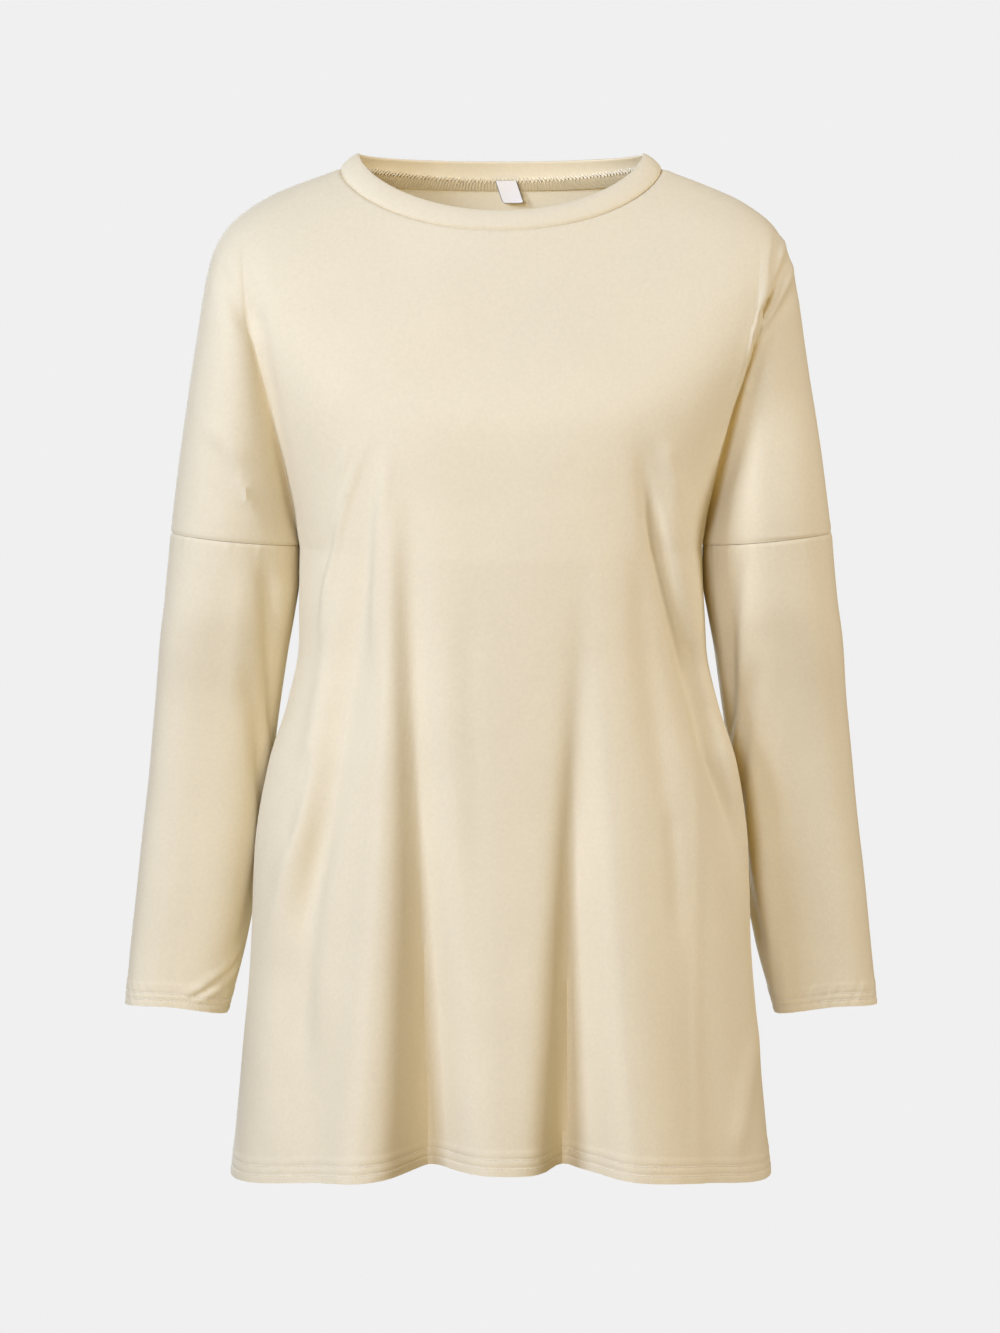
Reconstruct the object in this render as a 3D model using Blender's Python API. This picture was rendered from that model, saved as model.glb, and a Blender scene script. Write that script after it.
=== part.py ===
"""A long-sleeve jersey t-shirt, filled out as if worn, built as its cut pieces of cloth.

The frame: +X is to the right of the front view, the front of the shirt faces -Y and +Z is up.
The origin lies between the two points where the neckline meets the shoulder seams, on the
line along which a wearer's shoulders hold the shirt up. All lengths are metres.

Each piece is a wall of cloth. Its outer face is a sheet of points worked out from short
tables of sections, and its inner face is that sheet moved in along the normals.
"""
import math

import bpy
import numpy as np

# ---- driving dimensions -------------------------------------------------------------------
WALL = 0.0016                # jersey wall of panels and sleeves
BAND_WALL = 0.0020           # neckband, folded double
LABEL_WALL = 0.0010
SEAM_GAP = 0.0003            # gap between neighbouring pieces at a seam

NECK_HALF_WIDTH = 0.1145     # neckband seam, at the shoulders
NECK_SAG_POWER = 0.62        # how squarely the front neckline hangs
BAND_TOP_HALF_WIDTH = 0.1010
BAND_TOP_Z = 0.0060
BAND_TOP_FRONT = (0.0400, -0.0366)    # y forward, z, of the band's top edge at centre front
BAND_TOP_BACK = (0.0720, 0.0056)      # y backward, z, at centre back
BAND_BULGE = 0.0012

HEM_SIDE_Z = -0.7265
HEM_FRONT_RISE = 0.0240      # the hem hangs this much higher at centre front
HEM_BACK_RISE = 0.0100
TORSO_ROUND = 2.4            # superellipse power of the torso's sections
ARM_DEPTH = 0.0480           # half depth of the arm where the sleeve is set on

CUFF_OUTER_Z = -0.6110
SLEEVE_ROUND = 2.6            # section of a sleeve below its top: 2 is an ellipse
SLEEVE_ROUNDING = 0.3         # share of the sleeve over which it goes to that section
CUFF_INNER_DROP = 0.0075     # the cuff's inner side hangs this much lower
CUFF_FRONT_RISE = 0.0060     # and its front is held this much higher

LABEL_WIDTH = 0.0200
LABEL_HEIGHT = 0.0160
LABEL_CENTRE_X = 0.0060
LABEL_DROP = 0.001           # how far the label's top lies below the neck seam
LABEL_OFFSET = 1.15          # walls between the back's outer face and the label, as it slants
CREASE_ROUNDING = 0.004      # half width of the rounded bottom of the armhole crease

# ---- how finely each piece is divided -------------------------------------------------------
ARM_COLUMNS = 7              # from the shoulder line to the armhole crease
HALF_COLUMNS = 28            # from the armhole crease to the middle
YOKE_ROWS = 9
TORSO_ROWS = 14
SLEEVE_COLUMNS = 2 * ARM_COLUMNS
SLEEVE_ROWS = 14
BAND_COLUMNS = 40
BAND_ROWS = 2
LABEL_CELLS = 3

# Rows that run round the neck, from the neckline to the underarm. side_x and side_z are the
# shoulder line and then the outer arm, crease_x is where the arm meets the torso.
YOKE_NAMES = ("along", "side_x", "side_z", "crease_x", "front_y", "front_z",
              "back_y", "back_z", "round", "sag", "left", "right", "behind")
YOKE = (
    (0.0, 0.1145, -0.0050, 0.1000, 0.0480, -0.0510, 0.078, -0.0100, 2.0, 0.62, 0.00, 0.00, 0.00),
    (0.1, 0.1415, -0.0150, 0.1270, 0.0575, -0.0750, 0.088, -0.0350, 2.2, 0.66, 0.00, 0.00, 0.00),
    (0.2, 0.1690, -0.0270, 0.1560, 0.0670, -0.0980, 0.095, -0.0620, 2.4, 0.72, 0.00, 0.00, 0.00),
    (0.3, 0.1940, -0.0460, 0.1805, 0.0765, -0.1220, 0.100, -0.0900, 2.5, 0.80, 0.02, 0.01, 0.02),
    (0.4, 0.2060, -0.0690, 0.1790, 0.0860, -0.1460, 0.103, -0.1190, 2.6, 0.86, 0.09, 0.06, 0.10),
    (0.6, 0.2170, -0.1300, 0.1660, 0.1030, -0.1930, 0.106, -0.1760, 2.6, 0.92, 0.38, 0.30, 0.42),
    (0.8, 0.2280, -0.1980, 0.1530, 0.1070, -0.2400, 0.104, -0.2330, 2.5, 0.97, 0.72, 0.66, 0.74),
    (1.0, 0.2368, -0.2630, 0.1440, 0.1100, -0.2772, 0.100, -0.2772, 2.4, 1.00, 1.00, 1.00, 1.00),
)
FRONT_COLUMNS = ("front_y", "front_z", ("left", "right"))
BACK_COLUMNS = ("back_y", "back_z", ("behind", "behind"))

# Sections of the torso from the underarm to the hem, by the height of their side seam.
TORSO_NAMES = ("side_z", "half_width", "front_y", "back_y")
TORSO = (
    (-0.2720, 0.1440, 0.110, 0.100),
    (-0.3410, 0.1450, 0.110, 0.092),
    (-0.3840, 0.1532, 0.110, 0.088),
    (-0.4280, 0.1672, 0.110, 0.088),
    (-0.4930, 0.1777, 0.111, 0.091),
    (-0.5590, 0.1807, 0.113, 0.096),
    (-0.6480, 0.1882, 0.116, 0.102),
    (-0.7265, 0.1965, 0.118, 0.106),
)

# Sections of a sleeve from its seam to the cuff, by the height of their outer side.
SLEEVE_NAMES = ("outer_z", "outer_x", "inner_x", "middle_y", "half_y")
SLEEVE = (
    (-0.2630, 0.2368, 0.1446, 0.000, 0.0480),
    (-0.3120, 0.2420, 0.1490, 0.006, 0.0475),
    (-0.3410, 0.2466, 0.1546, 0.014, 0.0470),
    (-0.3840, 0.2512, 0.1616, 0.026, 0.0460),
    (-0.4280, 0.2563, 0.1680, 0.034, 0.0455),
    (-0.4714, 0.2615, 0.1738, 0.038, 0.0445),
    (-0.5153, 0.2668, 0.1803, 0.039, 0.0435),
    (-0.5590, 0.2718, 0.1880, 0.039, 0.0415),
    (-0.6110, 0.2769, 0.2022, 0.037, 0.0375),
)

# The largest folds of the two panels. A fold runs from top_z to end_z along a curve whose
# places across the shirt are top_x, mid_x and end_x. height is positive for a ridge.
FOLD_NAMES = ("top_z", "end_z", "top_x", "mid_x", "end_x",
              "top_width", "end_width", "top_height", "end_height", "skew")
FRONT_FOLDS = (
    (-0.19, -0.74, -0.073, -0.081, -0.100, 0.009, 0.026, 0.0025, 0.017, 0.0),
    (-0.20, -0.74, -0.068, -0.059, -0.056, 0.009, 0.022, -0.001, -0.050, 0.35),
    (-0.30, -0.74, -0.008, -0.006, -0.004, 0.046, 0.038, 0.000, 0.008, 0.0),
    (-0.26, -0.74, 0.058, 0.052, 0.048, 0.013, 0.021, 0.000, -0.048, 0.2),
    (-0.24, -0.74, 0.072, 0.076, 0.098, 0.016, 0.034, 0.002, 0.016, 0.3),
    (-0.17, -0.54, 0.094, 0.130, 0.184, 0.009, 0.011, -0.004, -0.008, 0.0),
    (-0.19, -0.56, 0.112, 0.148, 0.200, 0.011, 0.013, 0.005, 0.007, 0.0),
    (-0.45, -0.74, 0.135, 0.142, 0.156, 0.016, 0.020, -0.001, -0.005, 0.0),
    (-0.44, -0.70, -0.140, -0.142, -0.140, 0.014, 0.018, -0.003, -0.006, 0.0),
    (-0.20, -0.56, -0.086, -0.107, -0.148, 0.009, 0.014, -0.003, -0.009, 0.0),
    (-0.26, -0.58, -0.108, -0.133, -0.168, 0.007, 0.011, 0.003, 0.007, 0.0),
)
# Steps straight back: the cloth laps over the right arm at the shoulder crease.
FRONT_STEPS = (
    (0.00, -0.30, 0.200, 0.171, 0.138, 0.026, 0.026, -0.008, -0.008, -0.2),
    (0.00, -0.30, 0.200, 0.171, 0.138, 0.015, 0.015, -0.009, -0.009, 0.6),
)
BACK_FOLDS = (
    (-0.22, -0.74, 0.070, 0.064, 0.054, 0.018, 0.024, -0.004, -0.034, 0.0),
    (-0.24, -0.74, 0.010, 0.006, 0.000, 0.040, 0.034, 0.002, 0.012, 0.0),
    (-0.20, -0.74, -0.066, -0.060, -0.050, 0.016, 0.022, -0.004, -0.030, 0.2),
    (-0.24, -0.74, -0.098, -0.104, -0.108, 0.020, 0.026, 0.003, 0.014, 0.0),
    (-0.24, -0.74, 0.100, 0.108, 0.112, 0.020, 0.026, 0.003, 0.012, 0.0),
    (-0.17, -0.50, -0.100, -0.128, -0.160, 0.010, 0.013, -0.005, -0.005, 0.0),
    (-0.50, -0.74, 0.140, 0.146, 0.150, 0.014, 0.016, -0.002, -0.010, 0.0),
)
FOLD_FADE = 0.09             # length over which a fold rises at its top and dies at its end
FOLD_EDGE_DEPTH = 0.050      # folds die out where the cloth turns round to the side seam
FOLD_GROWTH = 1.6             # how late the folds deepen and widen on their way down
FOLD_TURN = 0.010             # over which a skewed fold changes from its steep to its easy side
SLEEVE_FOLD_START = 0.06      # share of the sleeve over which its folds rise from the seam
SLEEVE_FOLD_FADE = 0.25       # share of a sleeve fold over which it rises and dies

# The largest folds of a sleeve: share of its length, angle round it in degrees from the
# outer side over the front, how far the fold climbs round, its width and height.
SLEEVE_FOLD_NAMES = ("start", "end", "angle", "turn", "width", "height")
SLEEVE_FOLDS = (
    (0.00, 0.45, 117, 48, 10, -0.0045),
    (0.22, 0.70, 112, 64, 11, -0.0030),
    (0.55, 0.92, 172, -20, 14, -0.0025),
    (0.20, 0.60, 300, -40, 16, -0.0035),
    (0.60, 0.98, 250, 50, 14, -0.0030),
)


# ---- tables and curves --------------------------------------------------------------------
def column(table, names, name):
    """One named column of a table, as an array."""
    return np.array([row[names.index(name)] for row in table])


def smooth_curve(knots, values, places):
    """Read a monotone cubic curve through (knots, values) at the given places."""
    steps = np.diff(knots)
    slopes = np.diff(values) / steps
    tangents = np.empty(len(knots))
    tangents[0], tangents[-1] = slopes[0], slopes[-1]
    same_way = slopes[:-1] * slopes[1:] > 0
    total = np.where(same_way, slopes[:-1] + slopes[1:], 1.0)
    tangents[1:-1] = np.where(same_way, 2 * slopes[:-1] * slopes[1:] / total, 0.0)
    places = np.clip(places, min(knots[0], knots[-1]), max(knots[0], knots[-1]))
    seg = np.clip(np.searchsorted(knots, places, side="right") - 1, 0, len(steps) - 1)
    t = (places - knots[seg]) / steps[seg]
    rise = (values[seg + 1] - values[seg]) * (3 * t**2 - 2 * t**3)
    leave = tangents[seg] * steps[seg] * (t - 2 * t**2 + t**3)
    arrive = tangents[seg + 1] * steps[seg] * (t**3 - t**2)
    return values[seg] + rise + leave + arrive


def read_table(table, names, places, falling=False):
    """All columns of a table at the given places of its first column."""
    knots = column(table, names, names[0])
    if falling:
        knots, places = -knots, -places
    return {name: smooth_curve(knots, column(table, names, name), places)
            for name in names[1:]}


def smooth_step(t):
    """0 below 0, 1 above 1, and an even S between."""
    t = np.clip(t, 0.0, 1.0)
    return t * t * (3 - 2 * t)


def superellipse(ratio, power, edge_power=None):
    """Depth of a superellipse of half width 1 and depth 1 at a place across it.

    An edge_power below power makes it start at a slope from its edge, not at a right angle.
    """
    return np.maximum(1 - np.abs(ratio)**power, 0.0)**(1 / (edge_power or power))


# ---- forms --------------------------------------------------------------------------------
def yoke_half(v, depth_name, height_name, crease):
    """Half a row round the neck, from the side to the middle: x, depth and z."""
    at = {name: value[0] for name, value in read_table(YOKE, YOKE_NAMES, np.array([v])).items()}
    arm = np.linspace(0, 1, ARM_COLUMNS + 1)
    torso = np.linspace(0, 1, HALF_COLUMNS + 1)[1:]
    arm_x = at["side_x"] - (at["side_x"] - at["crease_x"]) * (1 - np.cos(math.pi * arm)) / 2
    torso_x = at["crease_x"] * np.cos(math.pi / 2 * torso)
    x = np.concatenate([arm_x, torso_x])
    across = x / at["side_x"]
    smooth = at[depth_name] * superellipse(across, at["round"])
    sharpness = at[crease]**2
    arm_power = np.where(arm > 0.5, 2 - sharpness, 1.0)
    edge_power = 1 + (at["round"] - 1) * sharpness
    creased = np.concatenate([
        ARM_DEPTH * np.maximum(np.sin(math.pi * arm), 0.0)**arm_power,
        at[depth_name] * superellipse(torso_x / at["crease_x"], at["round"], edge_power)])
    depth = (1 - at[crease]) * smooth + at[crease] * creased
    near_crease = np.exp(-((x - at["crease_x"]) / CREASE_ROUNDING)**2)
    depth += SEAM_GAP / 2 + WALL * at[crease] * near_crease
    sag = np.maximum(1 - across**2, 0.0)**at["sag"]
    z = at["side_z"] + (at[height_name] - at["side_z"]) * sag
    return x, depth, z


def yoke_row(v, depth_name, height_name, creases):
    """Points of one row round the neck, on the front or the back: x, depth and z."""
    left, right = (yoke_half(v, depth_name, height_name, crease) for crease in creases)
    x, depth, z = (np.concatenate([a, b[::-1][1:]]) for a, b in zip(left, right))
    x[:len(left[0]) - 1] *= -1
    return x, depth, z


def torso_row(w, top_x, top_z, depth_name, hem_rise):
    """Points of one row of the torso: w is 0 at the underarm and 1 at the hem."""
    side_top = top_z[0]
    side_z = side_top + (HEM_SIDE_Z - side_top) * w
    at = {name: value[0] for name, value
          in read_table(TORSO, TORSO_NAMES, np.array([side_z]), falling=True).items()}
    ratio = top_x / abs(top_x[0])
    x = at["half_width"] * ratio
    depth = at[depth_name] * superellipse(ratio, TORSO_ROUND) + SEAM_GAP / 2
    hem_z = HEM_SIDE_Z + hem_rise * (1 - ratio**2)
    return x, depth, (1 - w) * top_z + w * hem_z


def fold_height(folds, x, z):
    """How far the folds push the cloth out at places across and up the shirt."""
    height = np.zeros_like(x)
    for row in folds:
        fold = dict(zip(FOLD_NAMES, row))
        t = (fold["top_z"] - z) / (fold["top_z"] - fold["end_z"])
        path = (fold["top_x"] * (1 - t) * (1 - 2 * t) + 4 * fold["mid_x"] * t * (1 - t)
                + fold["end_x"] * t * (2 * t - 1))
        growth = np.clip(t, 0, 1)**FOLD_GROWTH
        width = fold["top_width"] + (fold["end_width"] - fold["top_width"]) * growth
        size = fold["top_height"] + (fold["end_height"] - fold["top_height"]) * growth
        rise = smooth_step((fold["top_z"] - z) / FOLD_FADE)
        fall = smooth_step((z - fold["end_z"]) / FOLD_FADE)
        fade = rise * (fall if fold["end_z"] > HEM_SIDE_Z else 1.0)
        width *= 1 + fold["skew"] * np.tanh((x - path) / FOLD_TURN)
        height += size * fade * np.exp(-((x - path) / width)**2)
    return height


def quads_of_grid(rows, columns, wrap=False):
    """Index quads of a grid of points; wrap joins the last column to the first."""
    quads = []
    for r in range(rows - 1):
        for c in range(columns if wrap else columns - 1):
            right = (c + 1) % columns
            quads.append((r * columns + c, r * columns + right,
                          (r + 1) * columns + right, (r + 1) * columns + c))
    return quads


def point_normals(points, quads):
    """Outward unit normals of a sheet's points, each face counted by its corner's angle."""
    quads = np.array(quads)
    normals = np.zeros_like(points)
    for k in range(4):
        ahead = points[quads[:, (k + 1) % 4]] - points[quads[:, k]]
        behind = points[quads[:, k - 1]] - points[quads[:, k]]
        face = np.cross(ahead, behind)
        size = np.linalg.norm(face, axis=1)
        angle = np.arctan2(size, np.sum(ahead * behind, axis=1))
        np.add.at(normals, quads[:, k], face * (angle / size)[:, None])
    return normals / np.linalg.norm(normals, axis=1)[:, None]


def level(directions, indices):
    """Make some of a sheet's inward directions level, so that two walls meet face to face."""
    indices = list(indices)
    directions[indices, 2] = 0
    directions[indices] /= np.linalg.norm(directions[indices], axis=1)[:, None]


def panel_sheet(side, columns, hem_rise, steps, folds):
    """The outer face of the front (side -1) or the back (side 1).

    Like each sheet, it is its points, its quads and the directions in which the wall grows.
    """
    rows = [yoke_row(v, *columns) for v in np.linspace(0, 1, YOKE_ROWS + 1)]
    across = len(rows[0][0])
    points = [np.stack(row, axis=1) for row in rows]
    quads = quads_of_grid(len(rows), across)
    torso = slice(ARM_COLUMNS, across - ARM_COLUMNS)
    top_x, top_z = rows[-1][0][torso], rows[-1][2][torso]
    above = [(len(rows) - 1) * across + c for c in range(across)][torso]
    start = len(rows) * across
    for w in np.linspace(0, 1, TORSO_ROWS + 1)[1:]:
        points.append(np.stack(torso_row(w, top_x, top_z, columns[0], hem_rise), axis=1))
        below = list(range(start, start + len(top_x)))
        quads += [(above[c], above[c + 1], below[c + 1], below[c])
                  for c in range(len(below) - 1)]
        above, start = below, start + len(below)
    points = np.concatenate(points)
    depth = points[:, 1].copy()
    points = np.stack([points[:, 0], side * depth, points[:, 2]], axis=1)
    away_from_side = smooth_step(depth / FOLD_EDGE_DEPTH)
    points[:, 1] += side * fold_height(steps, points[:, 0], points[:, 2]) * away_from_side
    if side < 0:
        quads = [quad[::-1] for quad in quads]
    height = fold_height(folds, points[:, 0], points[:, 2]) * away_from_side
    points += height[:, None] * point_normals(points, quads)
    inward = -point_normals(points, quads)
    edge = [(len(rows) - 1) * across + c for c in range(across)]
    notches = [edge[ARM_COLUMNS], edge[-1 - ARM_COLUMNS]]
    level(inward, edge[:ARM_COLUMNS] + edge[-ARM_COLUMNS:])
    inward[notches] = (0, -side, 0)
    return points, quads, inward


def sleeve_sheet(side):
    """The outer face of the left (side -1) or right (side 1) sleeve."""
    turn = 2 * math.pi * np.arange(SLEEVE_COLUMNS) / SLEEVE_COLUMNS
    outer_z = np.linspace(YOKE[-1][2], CUFF_OUTER_Z, SLEEVE_ROWS + 1)
    at = read_table(SLEEVE, SLEEVE_NAMES, outer_z, falling=True)
    along = np.linspace(0, 1, SLEEVE_ROWS + 1)[:, None]
    middle_x = (at["outer_x"] + at["inner_x"])[:, None] / 2
    half_x = (at["outer_x"] - at["inner_x"])[:, None] / 2
    power = 2 + (SLEEVE_ROUND - 2) * smooth_step(along / SLEEVE_ROUNDING)
    radius = (np.abs(np.cos(turn))**power + np.abs(np.sin(turn))**power)**(-1 / power)
    x = middle_x + half_x * radius * np.cos(turn)
    y = at["middle_y"][:, None] - at["half_y"][:, None] * radius * np.sin(turn)
    seam = dict(zip(YOKE_NAMES, YOKE[-1]))
    seam_sag = 1 - (x[0] / seam["side_x"])**2
    seam_z = seam["side_z"] + (seam["front_z"] - seam["side_z"]) * seam_sag - SEAM_GAP
    cuff_z = CUFF_OUTER_Z - CUFF_INNER_DROP * (1 - np.cos(turn)) / 2
    cuff_z += CUFF_FRONT_RISE * np.maximum(np.sin(turn), 0.0)**2
    z = (1 - along) * seam_z + along * cuff_z
    push = np.zeros_like(x)
    for row in SLEEVE_FOLDS:
        fold = dict(zip(SLEEVE_FOLD_NAMES, row))
        t = (along - fold["start"]) / (fold["end"] - fold["start"])
        angle = fold["angle"] + fold["turn"] * t
        apart = (np.degrees(turn) - angle + 180) % 360 - 180
        inside = smooth_step(t / SLEEVE_FOLD_FADE) * smooth_step((1 - t) / SLEEVE_FOLD_FADE)
        push += fold["height"] * inside * np.exp(-(apart / fold["width"])**2)
    push *= smooth_step(along / SLEEVE_FOLD_START)
    points = np.stack([side * x, y, z], axis=2).reshape(-1, 3)
    quads = quads_of_grid(SLEEVE_ROWS + 1, SLEEVE_COLUMNS, wrap=True)
    if side < 0:
        quads = [quad[::-1] for quad in quads]
    points += push.reshape(-1, 1) * point_normals(points, quads)
    inward = -point_normals(points, quads)
    level(inward, range(SLEEVE_COLUMNS))
    return points, quads, inward


def band_ring(half_width, side_z, front, back, turn):
    """A ring round the neck; front and back are (depth, z) at the middle."""
    sine = np.sin(turn)
    is_front = sine >= 0
    depth = np.where(is_front, front[0], back[0])
    middle_z = np.where(is_front, front[1], back[1])
    sag = np.abs(sine)**(2 * NECK_SAG_POWER)
    return np.stack([half_width * np.cos(turn), -depth * sine,
                     side_z + (middle_z - side_z) * sag], axis=1)


def band_sheet():
    """The outer face of the neckband, from its seam to its folded top edge."""
    turn = 2 * math.pi * np.arange(BAND_COLUMNS) / BAND_COLUMNS
    seam = dict(zip(YOKE_NAMES, YOKE[0]))
    low = band_ring(NECK_HALF_WIDTH, seam["side_z"], (seam["front_y"], seam["front_z"]),
                    (seam["back_y"], seam["back_z"]), turn)
    high = band_ring(BAND_TOP_HALF_WIDTH, BAND_TOP_Z, BAND_TOP_FRONT, BAND_TOP_BACK, turn)
    rise = high - low
    low = low + rise * (SEAM_GAP / np.linalg.norm(rise, axis=1))[:, None]
    outward = np.stack([np.cos(turn), -np.sin(turn), 0 * turn], axis=1)
    rows = []
    for t in np.linspace(0, 1, BAND_ROWS + 1):
        rows.append(low + (high - low) * t + outward * BAND_BULGE * math.sin(math.pi * t))
    quads = quads_of_grid(BAND_ROWS + 1, BAND_COLUMNS, wrap=True)
    points = np.concatenate(rows)
    return points, quads, -point_normals(points, quads)


def label_sheet():
    """The face of the blank label that lies against the inside of the back, under the band."""
    seam = dict(zip(YOKE_NAMES, YOKE[0]))
    next_row = dict(zip(YOKE_NAMES, YOKE[1]))
    slope = (next_row["back_y"] - seam["back_y"]) / (next_row["back_z"] - seam["back_z"])
    points = []
    for t in np.linspace(0, 1, LABEL_CELLS + 1):
        z = seam["back_z"] - LABEL_DROP - LABEL_HEIGHT * t
        for s in np.linspace(-0.5, 0.5, LABEL_CELLS + 1):
            x = LABEL_CENTRE_X + LABEL_WIDTH * s
            curve = superellipse(x / NECK_HALF_WIDTH, 2.0)
            y = seam["back_y"] * curve + slope * (z - seam["back_z"])
            points.append((x, y - LABEL_OFFSET * WALL - SEAM_GAP, z))
    points = np.array(points)
    quads = quads_of_grid(LABEL_CELLS + 1, LABEL_CELLS + 1)
    return points, quads, -point_normals(points, quads)


# ---- solids -------------------------------------------------------------------------------
def split_quad(points, quad):
    """Cut a quad into two triangles along its shorter diagonal."""
    a, b, c, d = quad
    if np.linalg.norm(points[a] - points[c]) <= np.linalg.norm(points[b] - points[d]):
        return (a, b, c), (a, c, d)
    return (b, c, d), (b, d, a)


def wall_mesh(name, sheet, wall, keep_side=0):
    """Close a sheet into a wall. keep_side holds a panel on its own side of the side seam."""
    points, quads, inward = sheet
    inner = points + wall * inward
    both = np.concatenate([points, inner])
    if keep_side:
        both[:, 1] = keep_side * np.maximum(keep_side * both[:, 1], SEAM_GAP / 2)
    count = len(points)
    outer = [corner for quad in quads for corner in split_quad(points, quad)]
    faces = outer + [tuple(count + k for k in corner[::-1]) for corner in outer]
    edges = {(quad[k], quad[(k + 1) % 4]) for quad in quads for k in range(4)}
    faces += [(b, a, count + a, count + b) for a, b in edges if (b, a) not in edges]
    mesh = bpy.data.meshes.new(name)
    mesh.from_pydata(both.tolist(), [], sorted(faces))
    mesh.validate()
    mesh.shade_smooth()
    mesh.set_sharp_from_angle(angle=math.radians(60))
    return mesh


def fabric(name, colour, roughness):
    """A matt cloth material."""
    material = bpy.data.materials.new(name)
    material.use_nodes = True
    shader = material.node_tree.nodes["Principled BSDF"]
    shader.inputs["Base Color"].default_value = (*colour, 1.0)
    shader.inputs["Roughness"].default_value = roughness
    shader.inputs["Metallic"].default_value = 0.0
    return material


def add_piece(name, mesh, material):
    """Put a piece into the scene."""
    mesh.materials.append(material)
    piece = bpy.data.objects.new(name, mesh)
    bpy.context.scene.collection.objects.link(piece)
    return piece


def build():
    """Build every piece of the shirt."""
    for old in list(bpy.data.objects):
        bpy.data.objects.remove(old)
    jersey = fabric("cream_jersey", (0.78, 0.72, 0.57), 0.9)
    band_cloth = fabric("cream_band", (0.78, 0.72, 0.57), 0.9)
    label_cloth = fabric("white_label", (0.86, 0.86, 0.84), 0.7)
    front = panel_sheet(-1, FRONT_COLUMNS, HEM_FRONT_RISE, FRONT_STEPS, FRONT_FOLDS)
    back = panel_sheet(1, BACK_COLUMNS, HEM_BACK_RISE, (), BACK_FOLDS)
    add_piece("front_panel", wall_mesh("front_panel", front, WALL, keep_side=-1), jersey)
    add_piece("back_panel", wall_mesh("back_panel", back, WALL, keep_side=1), jersey)
    for name, side in (("left_sleeve", -1), ("right_sleeve", 1)):
        add_piece(name, wall_mesh(name, sleeve_sheet(side), WALL), jersey)
    add_piece("neckband", wall_mesh("neckband", band_sheet(), BAND_WALL), band_cloth)
    add_piece("neck_label", wall_mesh("neck_label", label_sheet(), LABEL_WALL), label_cloth)


build()
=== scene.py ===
"""The looks of the long-sleeve jersey t-shirt: fine cloth shells, sewing, materials, light.

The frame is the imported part: +X is to the right of the front view, the front faces -Y, +Z is
up, and the origin lies between the two neck points of the shoulder seams. Lengths are metres
unless a table says millimetres.
"""
import math
from collections import namedtuple

import bpy
import numpy as np
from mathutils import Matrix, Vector


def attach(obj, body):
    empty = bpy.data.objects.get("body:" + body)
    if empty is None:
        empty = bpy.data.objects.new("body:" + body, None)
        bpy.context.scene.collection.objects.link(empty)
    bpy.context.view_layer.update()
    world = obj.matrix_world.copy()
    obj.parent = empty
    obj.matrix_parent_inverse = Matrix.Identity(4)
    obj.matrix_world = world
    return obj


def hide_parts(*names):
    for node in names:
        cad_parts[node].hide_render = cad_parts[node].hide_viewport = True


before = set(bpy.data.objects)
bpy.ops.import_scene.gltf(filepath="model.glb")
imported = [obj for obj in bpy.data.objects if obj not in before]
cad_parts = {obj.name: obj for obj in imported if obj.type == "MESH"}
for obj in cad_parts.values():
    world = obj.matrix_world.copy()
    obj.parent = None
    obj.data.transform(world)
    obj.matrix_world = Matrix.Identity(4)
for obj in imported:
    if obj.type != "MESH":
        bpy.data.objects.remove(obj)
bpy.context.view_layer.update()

MM = 0.001

# ---- sizes of the shirt, as in the part ----
WALL = 1.6 * MM              # jersey wall of panels and sleeves
BAND_WALL = 2.0 * MM         # neckband, folded double
SEAM_GAP = 0.3 * MM
SIDE_GAP = 0.04 * MM         # between the front and the back, so that no light shows through
NECK_SAG_POWER = 0.62
BAND_TOP_HALF_WIDTH = 0.1010
BAND_TOP_Z = 0.0060
BAND_TOP_FRONT = (0.0400, -0.0366)     # depth and height at the middle
BAND_TOP_BACK = (0.0720, 0.0056)
BAND_BULGE = 1.2 * MM
BAND_INNER_SHARE = 0.6       # the band's inside bulges less than its outside
HEM_SIDE_Z = -0.7265
HEM_FRONT_RISE = 0.0240
HEM_BACK_RISE = 0.0100
TORSO_ROUND = 2.4
TORSO_LENGTH = 0.446         # from the dropped seam to the hem
ARM_DEPTH = 0.0480
CUFF_OUTER_Z = -0.6110
CUFF_INNER_DROP = 0.0075
CUFF_FRONT_RISE = 0.0060
SLEEVE_LENGTH = 0.345
SLEEVE_ROUND = 2.6           # section of a sleeve below its top: 2 is an ellipse
SLEEVE_ROUNDING = 0.3        # share of the sleeve over which it goes to that section
CREASE_ROUNDING = 0.004

# ---- the blank label ----
LABEL_WIDTH = 0.0158
LABEL_HEIGHT = 0.0160
LABEL_WALL = 0.6 * MM
LABEL_CENTRE_X = 0.0064
LABEL_RISE = 1.3 * MM        # the label's top lies on the overlocked seam
LABEL_LEAN = 5.5 * MM        # how far its lower end swings to the right
LABEL_CURL = 1.2 * MM        # how far its low right corner curls forward
LABEL_CORNER_RISE = 0.09     # how far its low corners are rounded, and over which shares
LABEL_CORNER_ACROSS = 0.25
LABEL_CORNER_DOWN = 0.2
LABEL_STAND = 5.2 * MM       # how far it stands inside the back's outer face
LABEL_BORDER = 0.55 * MM     # darker edges at its sides and foot

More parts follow.
